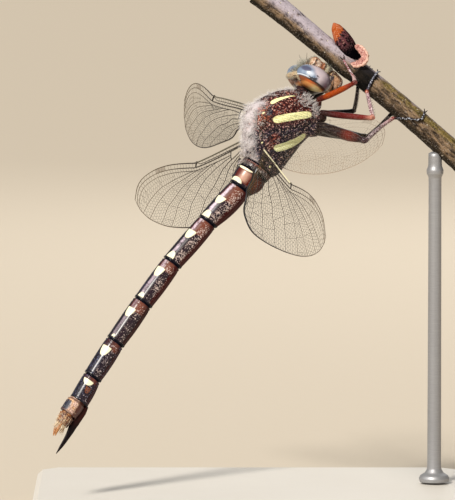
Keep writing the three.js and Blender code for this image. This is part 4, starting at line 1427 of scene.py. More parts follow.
# ---- legs ----
# Of each pair: coxa and hip in body axes, and thickness at socket, thigh and knee. Of each side:
# the knee, then ankle and toes as (mm along the twig, degrees up from its near side).
LEGS = {
    "front": {
        "coxa": (6.15, 1.75, -6.3), "hip": (7.0, 2.45, -5.75), "thick": (0.5, 0.42, 0.34),
        "right": ((11.0, 7.9, -7.1), (18.5, -20), [(17.3, -10), (16.4, 0), (15.8, 8)]),
        "left": ((12.2, -5.4, -8.1), (13.8, 215), [(13.2, 190), (12.2, 165), (11.4, 150)]),
    },
    "mid": {
        "coxa": (5.0, 2.75, -7.6), "hip": (5.55, 3.45, -7.0), "thick": (0.62, 0.45, 0.38),
        "right": ((8.34, 9.14, -11.97), (21.2, -34), [(20.9, 0), (20.7, 40), (20.7, 72)]),
        "left": ((10.88, -5.85, -13.17), (19.8, 230), [(19.4, 195), (19.2, 165), (19.4, 140)]),
    },
    "hind": {
        "coxa": (3.4, 2.8, -8.2), "hip": (3.85, 3.4, -8.0), "thick": (0.72, 0.78, 0.48),
        "right": ((4.5, 11.65, -12.38), (26.6, -56), [(28.3, -14), (29.7, 18), (29.5, 60)]),
        "left": ((9.19, -6.19, -17.12), (26.0, 236), [(27.2, 205), (28.3, 180), (29.3, 155)]),
    },
}
TOE_CLEAR = 0.22
# Share along the whole leg at which its parts begin: thigh, shin, foot, claws.
THIGH, SHIN, FOOT, CLAWS = 0.12, 0.46, 0.78, 0.96


def leg_parts(pair, name):
    """The joints of a leg as world points: coxa, hip, knee, ankle and toes."""
    leg, side = LEGS[pair], SIDES[name]
    knee, ankle, toes = leg[name]
    coxa, hip = (in_body(np.multiply(leg[part], (1, side, 1))) for part in ("coxa", "hip"))
    toes = [beside_twig(mm, angle, TOE_CLEAR) for mm, angle in toes]
    return coxa, hip, in_body(knee), beside_twig(*ankle, 0.5), toes


def build_legs(colours):
    """Six legs, each one skin from socket to claws, and their spines."""
    spines = Mould()
    rng = np.random.default_rng(7)
    for pair in LEGS:
        for name in SIDES:
            build_leg(pair, name, colours, spines, rng)
    spines.piece("leg_spines", spine_finish(), (), "dark_shell")


def build_leg(pair, name, colours, spines, rng):
    """One leg from socket to claws; its spines join those of the other legs."""
    coxa, hip, knee, ankle, toes = leg_parts(pair, name)
    socket, thigh, end = LEGS[pair]["thick"]
    long, shin = knee - hip, ankle - knee
    inside = coxa + (in_body((LEGS[pair]["coxa"][0], 0, -4.5)) - coxa) * 0.25
    mould = Mould()
    girth = [(0, socket * 1.35), (0.06, socket * 1.05), (0.09, thigh * 0.85), (THIGH, thigh)]
    leg_tube(mould, curve([inside, coxa, hip, hip + long * 0.12], 14), 0.0, THIGH, girth)
    sag = np.cross(unit(long), AXES[1]) * 0.12
    path = curve([hip, hip + long * 0.3 + sag, hip + long * 0.7 + sag, knee], 30)
    girth = [(0.1, thigh * 0.9), (0.2, thigh * 1.06), (0.32, thigh)]
    girth += [(0.42, end * 0.92), (0.45, end), (SHIN, end * 0.7)]
    leg_tube(mould, path, THIGH * 0.8, SHIN, girth)
    bow = np.cross(unit(long), shin) * 0.02
    shin_line = curve([knee, knee + shin * 0.5 + bow, ankle], 30)
    girth = [(SHIN, 0.34), (0.49, 0.31), (0.62, 0.29), (0.75, 0.26), (FOOT, 0.28)]
    leg_tube(mould, shin_line, SHIN, FOOT, girth)
    foot_line = curve([ankle, *toes], 48)
    leg_tube(mould, foot_line, FOOT, CLAWS, [(FOOT, 0.2), (0.9, 0.16), (CLAWS, 0.17)], (0.815, 0.868))
    add_claws(mould, foot_line)
    finish = leg_finish(pair, name, colours)
    nodes = tuple(f"{part}_{pair}_{name}" for part in ("femur", "tibia", "tarsus"))
    slot = "femur_front" if pair == "front" else "femur_brown"
    mould.piece(f"leg_{pair}_{name}", finish, nodes, slot, voxel=0.05, relax=2)
    add_spines(spines, shin_line, 0.2, 0.62, 11, rng)
    add_spines(spines, np.linspace(hip + long * 0.3, hip + long * 0.96, 12), end * 0.9, 0.34, 9, rng)


def leg_tube(mould, path, low, high, girth, joints=()):
    """One part of a leg, from share low to high of the whole; girth is rows of (share, radius)."""
    share = np.linspace(low, high, len(path))
    pinch = 1 - 0.3 * sum(hump(share, at, 0.006) for at in joints)
    mould.tube(path, np.interp(share, *zip(*girth)) * pinch, 20, single(share))


def add_claws(mould, foot_line):
    """A pair of hooked claws at the end of the foot, curling into the bark."""
    end = foot_line[-1]
    way = unit(end - foot_line[-5])
    near = TWIG[np.argmin(np.linalg.norm(TWIG - end, axis=1))]
    inward = unit(near - end)
    across = np.cross(way, inward)
    for side in (-1, 1):
        path = curve(
            [
                end - way * 0.1,
                end + way * 0.3 + across * side * 0.16 - inward * 0.04,
                end + way * 0.6 + across * side * 0.28 + inward * 0.02,
                end + way * 0.72 + across * side * 0.32 + inward * 0.2,
            ],
            16,
        )
        mould.tube(path, widths([(0, 0.1), (0.3, 0.085), (0.8, 0.05), (1, 0.02)], 16), 12, (1, 0, 0))


def add_spines(mould, line, radius, long, count, rng):
    """Two rows of slanting spines along a stretch of leg."""
    way = unit(line[-1] - line[0])
    down = unit(-AXES[2] - way * (-AXES[2] @ way))
    across = np.cross(way, down)
    for i in range(count):
        at = along(line, [0.08 + 0.84 * i / (count - 1)])[0]
        for side in (-1, 1):
            out = down * 0.6 + across * side * 0.8
            size = long * rng.uniform(0.75, 1.1)
            tip = at + out * (radius * 0.7 + size * 0.72) + way * size * 0.6
            middle = at + out * (radius + size * 0.4) + way * size * 0.25
            path = curve([at + out * radius * 0.6, middle, tip], 5)
            mould.tube(path, (0.034, 0.03, 0.022, 0.014, 0.004), 5)


def leg_stops(pair, name, colours):
    """The colours of one leg from socket to claws, as (share, colour) stops."""
    black, brown = (12, 8, 10), (50, 22, 18)
    dark = [(0, brown), (0.2, black), (0.5, black), (1, black)]
    # The far (left) legs are painted near black all along: painted shade of the far side.
    if name == "left":
        return dark
    pink, orange = colours.pink, colours.orange
    return {
        "front": [
            (0, (30, 14, 12)), (0.14, (84, 24, 10)), (0.2, orange), (0.34, orange),
            (0.4, (120, 36, 12)), (0.46, (88, 22, 14)), (0.5, pink), (0.7, pink),
            (0.8, (176, 124, 124)), (0.94, (160, 104, 108)), (1, black),
        ],
        "mid": [
            (0, (24, 14, 14)), (0.14, (44, 14, 12)), (0.24, (78, 10, 8)),
            (0.4, (112, 34, 28)), (0.455, (190, 128, 108)), (0.5, (120, 72, 80)),
            (0.72, (150, 108, 120)), (0.765, (196, 92, 40)), (0.8, (52, 50, 64)),
            (0.94, (44, 46, 62)), (1, black),
        ],
        "hind": [
            (0, (14, 8, 12)), (0.2, (14, 7, 12)), (0.27, (32, 11, 12)),
            (0.33, (98, 28, 14)), (0.37, (74, 22, 14)), (0.42, (28, 12, 16)),
            # The pale pink of the near hind shin is partly its own colour and partly a painted highlight.
            (0.5, (70, 48, 62)), (0.6, (110, 80, 96)), (0.7, (190, 144, 148)), (0.765, (180, 60, 44)),
            (0.79, (24, 18, 22)), (1, black),
        ],
    }[pair]


def leg_finish(pair, name, colours):
    """Glossy leg shell with a speckled surface and painted glints on the feet; the shins of the near legs
    are palest.
    """
    sheet = Sheet(f"leg {pair} {name}")
    x = sheet.place()[0]
    cloud = sheet.noise(0.5, 3)
    fine = sheet.noise(0.2, 3, 0.7, seed=3)
    # How strongly the speckles and the painted glints show; the far (left) legs get less of both, as
    # painted shade of the far side.
    speckle_and_glint = 0.25 if name == "left" else 0.85
    sheet.ground = sheet.ramp(x + (cloud - 0.5) * 0.05, leg_stops(pair, name, colours))
    shin = x.within(0.47, 0.9 if pair == "front" else 0.77, 0.03) * 0.9 + 0.04
    sheet.paint(fine.soft(0.5, 0.56) * shin * speckle_and_glint, (250, 230, 228))
    # Pale blue-white flecks on the feet: painted glints of light.
    glint = x.soft(0.79, 0.82) * fine.soft(0.52, 0.58) * x.soft(0.97, 0.95)
    sheet.paint(glint * speckle_and_glint, (206, 212, 224))
    sheet.paint(fine.soft(0.47, 0.42) * (shin * 0.8 + 0.1) * speckle_and_glint, (54, 10, 18))
    gloss = {"Coat_Weight": 0.13, "Coat_Roughness": 0.15, "Specular_IOR_Level": 0.06}
    return sheet.finish(fine * 0.2 + 0.2, fine, 0.03, **gloss)


def spine_finish():
    """Black spines with a warm root."""
    sheet = Sheet("spines")
    fine = sheet.noise(0.3)
    sheet.ground = sheet.mix(fine, (18, 12, 12), (52, 34, 30))
    return sheet.finish(0.3, fine, 0.005)


# ---- wings ----
# Front and trailing edges as (share along the wing, mm ahead of its axis).
FORE_LEAD = [
    (0, 1.4), (0.15, 1.7), (0.35, 1.7), (0.52, 1.5), (0.62, 1.9), (0.72, 2.2), (0.82, 2.1), (0.9, 1.4),
    (0.96, 0.1), (1.0, -1.9),
]
FORE_TRAIL = [
    (0, -1.2), (0.02, -2.4), (0.06, -3.9), (0.15, -5.0), (0.3, -6.2), (0.45, -6.9), (0.6, -7.1),
    (0.75, -6.8), (0.88, -5.8), (0.95, -4.5), (0.985, -3.2), (1.0, -1.9),
]
HIND_LEAD = [
    (0, 1.6), (0.15, 1.6), (0.3, 1.4), (0.43, 1.2), (0.5, 1.5), (0.6, 1.9), (0.7, 2.0), (0.8, 1.6),
    (0.9, 0.5), (0.96, -1.0), (1.0, -3.3),
]
HIND_TRAIL = [
    (0, -1.2), (-0.01, -3.5), (0, -6.5), (0.04, -9.0), (0.1, -10.4), (0.18, -11.0), (0.3, -10.8),
    (0.45, -10.2), (0.6, -9.5), (0.75, -8.6), (0.88, -7.2), (0.95, -5.8), (0.985, -4.5), (1.0, -3.3),
]
# How each wing is held: side; root in body axes; sweep, droop and pitch; slide; twist, bend and bow;
# length and chord as shares; and how pale its front edge is, mostly a painted glint on the near hind wing.
WINGS = {
    "forewing_right": dict(
        side=1, root=(0.15, 3.0, -0.05), sweep=1.8, droop=7.1, pitch=20.4, slide=(0.3, -1.75),
        twist=-20, bend=0, bow=0.2, length=1.0, chord=0.98, pale=0,
    ),
    "forewing_left": dict(
        side=-1, root=(-0.01, -2.98, 0.1), sweep=4.5, droop=0, pitch=11.1, slide=(-0.1, -0.2),
        twist=20, bend=-0.85, bow=2.7, length=0.98, chord=0.9, pale=0.1,
    ),
    "hindwing_right": dict(
        side=1, root=(-3.47, 3.0, -2.82), sweep=-17.5, droop=9.7, pitch=20.5, slide=(1.5, -1.6),
        twist=20, bend=2.4, bow=4.0, length=0.95, chord=0.83, pale=1.0,
    ),
    "hindwing_left": dict(
        side=-1, root=(-3.95, -3.21, -2.06), sweep=-10.3, droop=4.8, pitch=24.3, slide=(0.6, -0.6),
        twist=20, bend=2.7, bow=2.9, length=0.99, chord=0.83, pale=0.1,
    ),
}
LEAD, TRAIL = "lead", "trail"
# Main veins as (share along the wing, mm ahead of its axis); a last height may be an edge.
FORE_VEINS = {
    "subcosta": [(0, 0.95), (0.15, 1.25), (0.35, 1.22), (0.47, 1.08), (0.52, LEAD)],
    "radius": [
        (0, 0.55), (0.15, 0.8), (0.35, 0.72), (0.52, 0.68), (0.62, 1.05), (0.72, 1.42), (0.82, 1.38),
        (0.9, 0.72), (0.96, -0.55), (0.99, TRAIL),
    ],
    "sector_1": [
        (0.1, 0.1), (0.2, 0.3), (0.35, 0.2), (0.52, 0.15), (0.62, 0.45), (0.72, 0.72), (0.82, 0.6),
        (0.9, -0.15), (0.955, -1.5), (0.982, TRAIL),
    ],
    "between_1": [(0.55, 0.15), (0.65, -0.1), (0.75, -0.6), (0.84, -1.6), (0.91, -3.0), (0.95, TRAIL)],
    "sector_2": [(0.5, 0.15), (0.6, -0.45), (0.7, -1.1), (0.8, -2.3), (0.87, -4.0), (0.895, TRAIL)],
    "between_2": [(0.34, 0.2), (0.45, -0.45), (0.57, -1.2), (0.68, -2.4), (0.77, -4.3), (0.815, TRAIL)],
    "sector_3": [(0.26, 0.25), (0.36, -0.35), (0.48, -1.3), (0.58, -2.6), (0.67, -4.6), (0.71, TRAIL)],
    "media": [
        (0.1, -0.2), (0.19, -0.4), (0.3, -1.0), (0.41, -2.0), (0.5, -3.4), (0.57, -5.4), (0.6, TRAIL),
    ],
    "cubitus": [
        (0, -0.35), (0.1, -0.85), (0.18, -1.1), (0.21, -1.9), (0.3, -2.7), (0.38, -3.9), (0.45, -5.6),
        (0.475, TRAIL),
    ],
    "anal": [(0, -0.75), (0.08, -1.6), (0.16, -2.3), (0.24, -3.4), (0.31, -5.0), (0.335, TRAIL)],
    "anal_2": [(0.01, -1.5), (0.06, -2.5), (0.11, -3.6), (0.15, TRAIL)],
}
HIND_VEINS = {
    "subcosta": [(0, 1.1), (0.15, 1.12), (0.3, 0.95), (0.39, 0.84), (0.43, LEAD)],
    "radius": [
        (0, 0.7), (0.15, 0.68), (0.3, 0.5), (0.43, 0.38), (0.5, 0.68), (0.6, 1.08), (0.7, 1.2),
        (0.8, 0.85), (0.9, -0.2), (0.96, -1.8), (0.99, TRAIL),
    ],
    "sector_1": [
        (0.1, 0.0), (0.2, 0.0), (0.3, -0.05), (0.43, -0.15), (0.5, 0.1), (0.6, 0.45), (0.7, 0.5),
        (0.8, 0.1), (0.9, -1.1), (0.955, -2.8), (0.982, TRAIL),
    ],
    "between_1": [
        (0.46, -0.1), (0.57, -0.4), (0.67, -0.95), (0.77, -1.9), (0.87, -3.7), (0.93, -5.3),
        (0.95, TRAIL),
    ],
    "sector_2": [
        (0.42, -0.15), (0.52, -0.8), (0.62, -1.6), (0.72, -2.8), (0.81, -4.5), (0.88, -6.6),
        (0.895, TRAIL),
    ],
    "between_2": [
        (0.3, -0.05), (0.4, -0.8), (0.5, -1.7), (0.6, -3.1), (0.7, -5.2), (0.78, -7.7), (0.8, TRAIL),
    ],
    "sector_3": [
        (0.23, 0.0), (0.33, -0.7), (0.43, -1.8), (0.53, -3.4), (0.61, -5.5), (0.67, -8.2),
        (0.69, TRAIL),
    ],
    "media": [
        (0.1, -0.3), (0.18, -0.6), (0.28, -1.5), (0.37, -3.0), (0.45, -5.0), (0.52, -8.0),
        (0.55, TRAIL),
    ],
    "cubitus": [
        (0, -0.2), (0.09, -0.8), (0.15, -1.6), (0.2, -3.0), (0.28, -4.8), (0.36, -7.2), (0.42, -9.6),
        (0.435, TRAIL),
    ],
    "anal": [
        (0, -0.6), (0.06, -1.6), (0.11, -3.0), (0.16, -5.1), (0.22, -7.6), (0.28, -10.0), (0.3, TRAIL),
    ],
    "anal_2": [(0.0, -1.0), (0.04, -2.6), (0.07, -4.7), (0.1, -7.3), (0.13, -9.6), (0.15, TRAIL)],
    "anal_3": [(0.0, -1.6), (0.015, -3.4), (0.025, -5.5), (0.04, -7.6), (0.05, TRAIL)],
}
# Fields between two veins, each from and to shares of the wing, with the cells' size as a share.
FORE_FIELDS = [
    ("lead", 0.02, 0.51, "subcosta", 0.02, 0.5, 1.6),
    ("subcosta", 0.03, 0.5, "radius", 0.03, 0.52, 1.6),
    ("lead", 0.53, 0.975, "radius", 0.53, 0.97, 1.35),
    ("radius", 0.1, 0.99, "sector_1", 0.1, 0.98, 1.2),
    ("sector_1", 0.57, 0.98, "between_1", 0.57, 0.95, 1.0),
    ("between_1", 0.57, 0.95, "sector_2", 0.57, 0.9, 1.0),
    ("sector_2", 0.5, 0.9, "between_2", 0.47, 0.82, 1.0),
    ("sector_1", 0.36, 0.56, "between_2", 0.36, 0.48, 1.1),
    ("between_2", 0.36, 0.82, "sector_3", 0.34, 0.71, 1.0),
    ("sector_1", 0.12, 0.34, "media", 0.12, 0.3, 1.2), ("sector_3", 0.3, 0.71, "media", 0.28, 0.6, 1.0),
    ("media", 0.12, 0.6, "cubitus", 0.12, 0.48, 1.0), ("cubitus", 0.03, 0.48, "anal", 0.03, 0.34, 1.0),
    ("anal", 0.03, 0.34, "anal_2", 0.02, 0.15, 1.0), ("anal_2", 0.02, 0.15, "trail", 0.03, 0.15, 1.0),
]
HIND_FIELDS = [
    ("lead", 0.02, 0.42, "subcosta", 0.02, 0.41, 1.6),
    ("subcosta", 0.03, 0.41, "radius", 0.03, 0.43, 1.6),
    ("lead", 0.44, 0.97, "radius", 0.44, 0.965, 1.35),
    ("radius", 0.1, 0.99, "sector_1", 0.1, 0.98, 1.2),
    ("sector_1", 0.48, 0.98, "between_1", 0.48, 0.95, 1.0),
    ("between_1", 0.48, 0.95, "sector_2", 0.47, 0.9, 1.0),
    ("sector_2", 0.43, 0.9, "between_2", 0.4, 0.8, 1.0),
    ("sector_1", 0.32, 0.46, "between_2", 0.32, 0.4, 1.1),
    ("between_2", 0.32, 0.8, "sector_3", 0.31, 0.69, 1.0),
    ("sector_1", 0.12, 0.3, "media", 0.12, 0.26, 1.2),
    ("sector_3", 0.26, 0.69, "media", 0.25, 0.55, 1.0),
    ("media", 0.12, 0.55, "cubitus", 0.12, 0.44, 1.0), ("cubitus", 0.03, 0.44, "anal", 0.03, 0.3, 1.0),
    ("anal", 0.02, 0.3, "anal_2", 0.02, 0.15, 1.0), ("anal_2", 0.005, 0.15, "anal_3", 0.005, 0.05, 1.0),
    ("anal_3", 0.004, 0.05, "trail", 0.0, 0.05, 1.0),
]


# The two kinds of wing: length in mm; edges, main veins and fields of cells; the knot's place; the
# height below which the trailing edge is read; that edge's thickness; the dark cell's two ends.
FORMS = {
    "fore": dict(
        length=41.0, lead=FORE_LEAD, trail=FORE_TRAIL, veins=FORE_VEINS, fields=FORE_FIELDS,
        nodus=0.52, below=-2.2, rear=1.2, cell=(0.745, 0.82),
    ),
    "hind": dict(
        length=40.0, lead=HIND_LEAD, trail=HIND_TRAIL, veins=HIND_VEINS, fields=HIND_FIELDS,
        nodus=0.43, below=-3.4, rear=1.9, cell=(0.71, 0.79),
    ),
}
# Steps of a wing's clear skin along it and across it, and the share at which it ends.
SKIN_ALONG, SKIN_ACROSS, SKIN_END = 110, 34, 0.993


class Wing:
    """One wing: its outline in mm in its own plane, and the world place of any point of it."""

    def __init__(self, name):
        hold = WINGS[name]
        self.fore = name.startswith("fore")
        self.hold = hold
        self.near_fore = self.fore and hold["side"] > 0
        self.form = FORMS["fore" if self.fore else "hind"]
        self.length = self.form["length"] * hold["length"]
        self.lead = curve(self.form["lead"], 200)
        self.trail = curve(self.form["trail"], 200)
        self.nodus = self.form["nodus"]
        sweep, droop, pitch = (math.radians(hold[k]) for k in ("sweep", "droop", "pitch"))
        span = AXES[1] * hold["side"] * math.cos(sweep) * math.cos(droop)
        span = span + AXES[0] * math.sin(sweep) - AXES[2] * math.sin(droop) * math.cos(sweep)
        self.span = unit(span)
        chord = AXES[0] * math.cos(pitch) + AXES[2] * math.sin(pitch)
        self.chord = unit(chord - self.span * (chord @ self.span))
        normal = np.cross(self.span, self.chord)
        self.normal = normal if normal @ AXES[2] > 0 else -normal

    def pleat(self, share, y):
        """Height of the folds behind the front edge, where veins ride on ridges and in furrows."""
        behind = np.interp(share, self.lead[:, 0], self.lead[:, 1]) - y
        ridges = 0.13 * np.cos(2 * math.pi * behind / 0.9) * np.exp(-behind / 1.6)
        waves = 0.09 * np.sin(behind * 1.9) * soft(behind, 0.6, 2.0)
        return (ridges + waves) * (1 - 0.75 * np.clip(share, 0, 1))

    def place(self, plan, lift=0.0):
        """World places of (share along, mm ahead) points, lifted off the wing's middle surface."""
        share, y = np.asarray(plan, float)[..., 0], np.asarray(plan, float)[..., 1]
        hold = self.hold
        twist = np.radians(hold["twist"]) * np.clip(share, 0, 1)
        ahead = y * hold["chord"]
        rise = ahead * np.sin(twist) + hold["bend"] * share**2 + self.pleat(share, y) + lift
        run = ahead * np.cos(twist) + hold["bow"] * share**2 + hold["slide"][1]
        out = share * self.length + hold["slide"][0]
        place = in_body(hold["root"])
        for size, axis in ((out, self.span), (run, self.chord), (rise, self.normal)):
            place = place + size[..., None] * axis
        return place

    def edge_height(self, edge, share):
        """Height of an edge at a share of the wing; the trailing edge is its outer part."""
        line = self.lead if edge == LEAD else self.trail[self.trail[:, 1].argmin() // 3 :]
        order = np.argsort(line[:, 0])
        return float(np.interp(share, line[order, 0], line[order, 1]))

    def vein(self, name, low=None, high=None):
        """A main vein or edge as points of the plan, cut to shares of the wing."""
        if name == LEAD:
            line = self.lead
        elif name == TRAIL:
            line = self.trail[self.trail[:, 1] < self.form["below"]]
        else:
            stations = list(self.form["veins"][name])
            share, height = stations[-1]
            if isinstance(height, str):
                stations[-1] = (share, self.edge_height(height, share))
            line = curve(stations, 120)
        if low is None:
            return line
        keep = (line[:, 0] >= low) & (line[:, 0] <= high)
        cut = line[keep] if keep.sum() > 2 else line
        return along(cut * (self.length, 1), np.linspace(0, 1, 90)) / (self.length, 1)


def cell_lines(wing, first, second, size, rng):
    """Cross-veins that fill the field between two veins: rungs, or rows of six-sided cells."""
    scale = np.array([wing.length, wing.hold["chord"]])
    a, b = first * scale, second * scale
    run = max(np.linalg.norm(np.diff(line, axis=0), axis=1).sum() for line in (a, b))
    steps = max(2, round(run / size))

    def between(s, t):
        """A point at a share along the field and a share across it."""
        near, far = (along(line, [min(max(s, 0), 1)])[0] for line in (a, b))
        return near * (1 - t) + far * t

    rows = []
    for k in range(steps + 1):
        width = np.linalg.norm(between(k / steps, 0) - between(k / steps, 1))
        rows.append(max(1, round(width / (size * 0.92))))
    lines = []
    k = 0
    while k < steps:
        n = rows[k]
        end = k + 1
        while end < steps and rows[end] == n:
            end += 1
        if n == 1:
            for i in range(max(k, 1), end):
                s = (i + rng.uniform(-0.16, 0.16)) / steps
                lines.append([between(s, 0), between(s + rng.uniform(-0.1, 0.1) / steps, 1)])
        else:
            halves = range(2 * k, 2 * end + 1)
            shift = {}
            for i in range(1, n):
                for h in halves:
                    pull = 0.17 if (h + i) % 2 == 0 else -0.17
                    s = (h + rng.uniform(-0.22, 0.22)) / (2 * steps)
                    shift[i, h] = between(s, (i + pull + rng.uniform(-0.06, 0.06)) / n)
                lines.append([shift[i, h] for h in halves])
            for i in range(n):
                for h in halves:
                    if (h + i) % 2 or h == 0:
                        continue
                    top = shift.get((i, h), between(h / (2 * steps), i / n))
                    low = shift.get((i + 1, h), between(h / (2 * steps), (i + 1) / n))
                    lines.append([top, low])
        if end < steps and rows[end] != n:
            lines.append([between(end / steps, t) for t in np.linspace(0, 1, max(n, rows[end]) + 1)])
        k = end
    return [np.array(line) / scale for line in lines]


# Thickness of the main veins as shares of the radius vein, and of all the others.
STRONG = {"subcosta": 0.75, "radius": 1.0, "media": 0.55, "cubitus": 0.7, "anal": 0.6, "sector_1": 0.6}
FINER = 0.45
# The arch at a wing's root, in shares along it and mm ahead.
ARCH = [(0.1, 0.75), (0.103, 0.1), (0.1, -0.3), (0.097, -0.8)]


def build_wing(name, settings):
    """One wing: a clear pleated skin, and its veins on it."""
    wing = Wing(name)
    rng = np.random.default_rng(sum(map(ord, name)))
    build_membrane(wing, name, settings)
    mould = Mould()
    main, fine = settings.vein / MM, settings.cross_vein / MM
    if wing.hold["side"] < 0:
        main *= 1.2
    add_vein(mould, wing, wing.lead, main * 1.15, main * 0.42, 1.0)
    for vein in wing.form["veins"]:
        share = STRONG.get(vein, FINER)
        add_vein(mould, wing, wing.vein(vein), main * share, main * 0.3)
    add_vein(mould, wing, wing.trail[3:], main * wing.form["rear"], main * 0.26)
    add_vein(mould, wing, np.array(ARCH), main * 0.6, main * 0.6)
    starts, ends, spots = [], [], []
    for first, a0, a1, second, b0, b1, cells in wing.form["fields"]:
        size = settings.cell / MM * cells
        for line in cell_lines(wing, wing.vein(first, a0, a1), wing.vein(second, b0, b1), size, rng):
            world = wing.place(line)
            starts.append(world[:-1])
            ends.append(world[1:])
            middle = np.asarray(line)[:-1]
            spots.append(np.column_stack([middle[:, 0], middle[:, 0] * 0, middle[:, 1]]))
    mould.rods(np.vstack(starts), np.vstack(ends), fine, 4, np.vstack(spots))
    add_knots(mould, wing, main)
    mould.piece(f"{name}_veins", vein_finish(wing, settings), (), "wing")


def add_vein(mould, wing, plan, thick, thin, kind=0.0):
    """A tapering vein along points of the plan; kind is 1 on the front edge and 3 on the flap."""
    share = np.linspace(0, 1, len(plan))
    world = wing.place(plan)
    radii = thick + (thin - thick) * share**0.7
    mould.tube(world, radii, 6, np.column_stack([plan[:, 0], plan[:, 0] * 0 + kind, plan[:, 1]]))


def add_knots(mould, wing, main):
    """The knot at the middle of the front edge, a hind wing's pale flap, and the roots."""
    n = wing.nodus
    lead = wing.edge_height(LEAD, n)
    knot = wing.place(np.array([(n - 0.008, lead + 0.02), (n, lead - 0.1), (n + 0.006, lead - 0.85)]))
    mould.tube(curve(knot, 10), np.linspace(main * 1.5, main * 0.7, 10), 8)
    if not wing.fore:
        flap = wing.place(np.array((0.004, -2.3)))
        mould.blob(flap, np.array([wing.chord, wing.span, wing.normal]), (0.4, 0.16, 0.06), (0, 3, 0), 16)
    for y, size in ((1.15, 0.26), (0.3, 0.22), (-0.7, 0.2)):
        root = wing.place(np.array((-0.012, y)))
        mould.blob(root, np.array([wing.span, wing.chord, wing.normal]), (size * 2.1, size, size), count=16)


def build_membrane(wing, name, settings):
    """The clear skin of a wing, a thin closed sheet pleated along its veins."""
    s = np.linspace(0, SKIN_END, SKIN_ALONG)
    edges = []
    for line in (wing.lead, wing.trail):
        run = np.linspace(0, 1, len(line))
        edges.append(np.column_stack([np.interp(s, run, line[:, k]) for k in (0, 1)])[:, None])
    share = np.linspace(0, 1, SKIN_ACROSS)[:, None] ** 1.5
    plan = edges[0] * (1 - share) + edges[1] * share
    half = settings.skin / MM / 2
    rings = np.concatenate([wing.place(plan, half), wing.place(plan, -half)[:, ::-1]], 1)
    across = np.broadcast_to(share[:, 0], plan.shape[:2])
    spots = np.stack([plan[..., 0], across, plan[..., 1]], -1)
    mould = Mould()
    mould.loft(rings, np.concatenate([spots, spots[:, ::-1]], 1))
    mould.piece(f"{name}_skin", membrane_finish(wing, settings), (name,), "wing")


def vein_finish(wing, settings):
    """Brown veins; the front edge of a wing is pale up to its knot, mostly as a painted glint on the near
    hind wing.
    """
    sheet = Sheet("veins")
    share, kind, ahead = sheet.place()
    fine = sheet.noise(0.4)
    sheet.ground = sheet.mix(fine, settings.vein_colour, (48, 36, 28))
    clear = 1.0
    if wing.near_fore:
        sheet.paint(share.soft(0.36, 0.5), (124, 96, 78))
        sheet.paint(share.soft(0.3, 0.42) * ahead.soft(-1.6, -3.0), (172, 148, 124))
        clear = share.soft(0.75, 0.95).math("MAXIMUM", ahead.soft(-2.8, -4.6)) * 0.3 + 0.08
    else:
        sheet.paint(share.soft(0.45, 0.85) * 0.65, (116, 100, 78))
    if not wing.fore:
        sheet.paint(share.soft(0.2, 0.1) * ahead.soft(-2.0, -3.0), (12, 10, 16))
    # The front edge pale up to the knot: on the near hind wing partly its own colour and mostly a painted
    # glint, faint on the others.
    pale = kind.within(0.6, 1.4, 0.2) * share.soft(wing.nodus + 0.01, wing.nodus - 0.02)
    sheet.paint(pale * wing.hold["pale"], settings.costa)
    sheet.paint(kind.soft(2.6, 2.9), (150, 154, 160))
    return sheet.finish(0.4, fine, 0.01, Alpha=clear)


def membrane_finish(wing, settings):
    """Clear, faintly smoky skin with a soft gloss."""
    sheet = Sheet("wing skin")
    share, across, _ = sheet.place()
    cloud = sheet.noise(2.5, 3)
    sheet.ground = sheet.mix(cloud, settings.skin_colour, (120, 112, 88))
    sheet.paint(share.soft(0.1, 0.0) * 0.6, (166, 138, 70))
    tint = cloud * 0.03 + settings.clearness - 0.015 + share.soft(0.05, 0.0) * 0.05
    cell = share.within(*wing.form["cell"], 0.012) * across.soft(0.085, 0.07)
    sheet.paint(cell, (96, 74, 54))
    tint = tint + cell * 0.22
    if wing.near_fore:
        tint = tint * 0.5
    relief = sheet.noise(0.5, 2)
    return sheet.finish(0.22, relief, 0.01, Alpha=tint, Specular_IOR_Level=0.15)


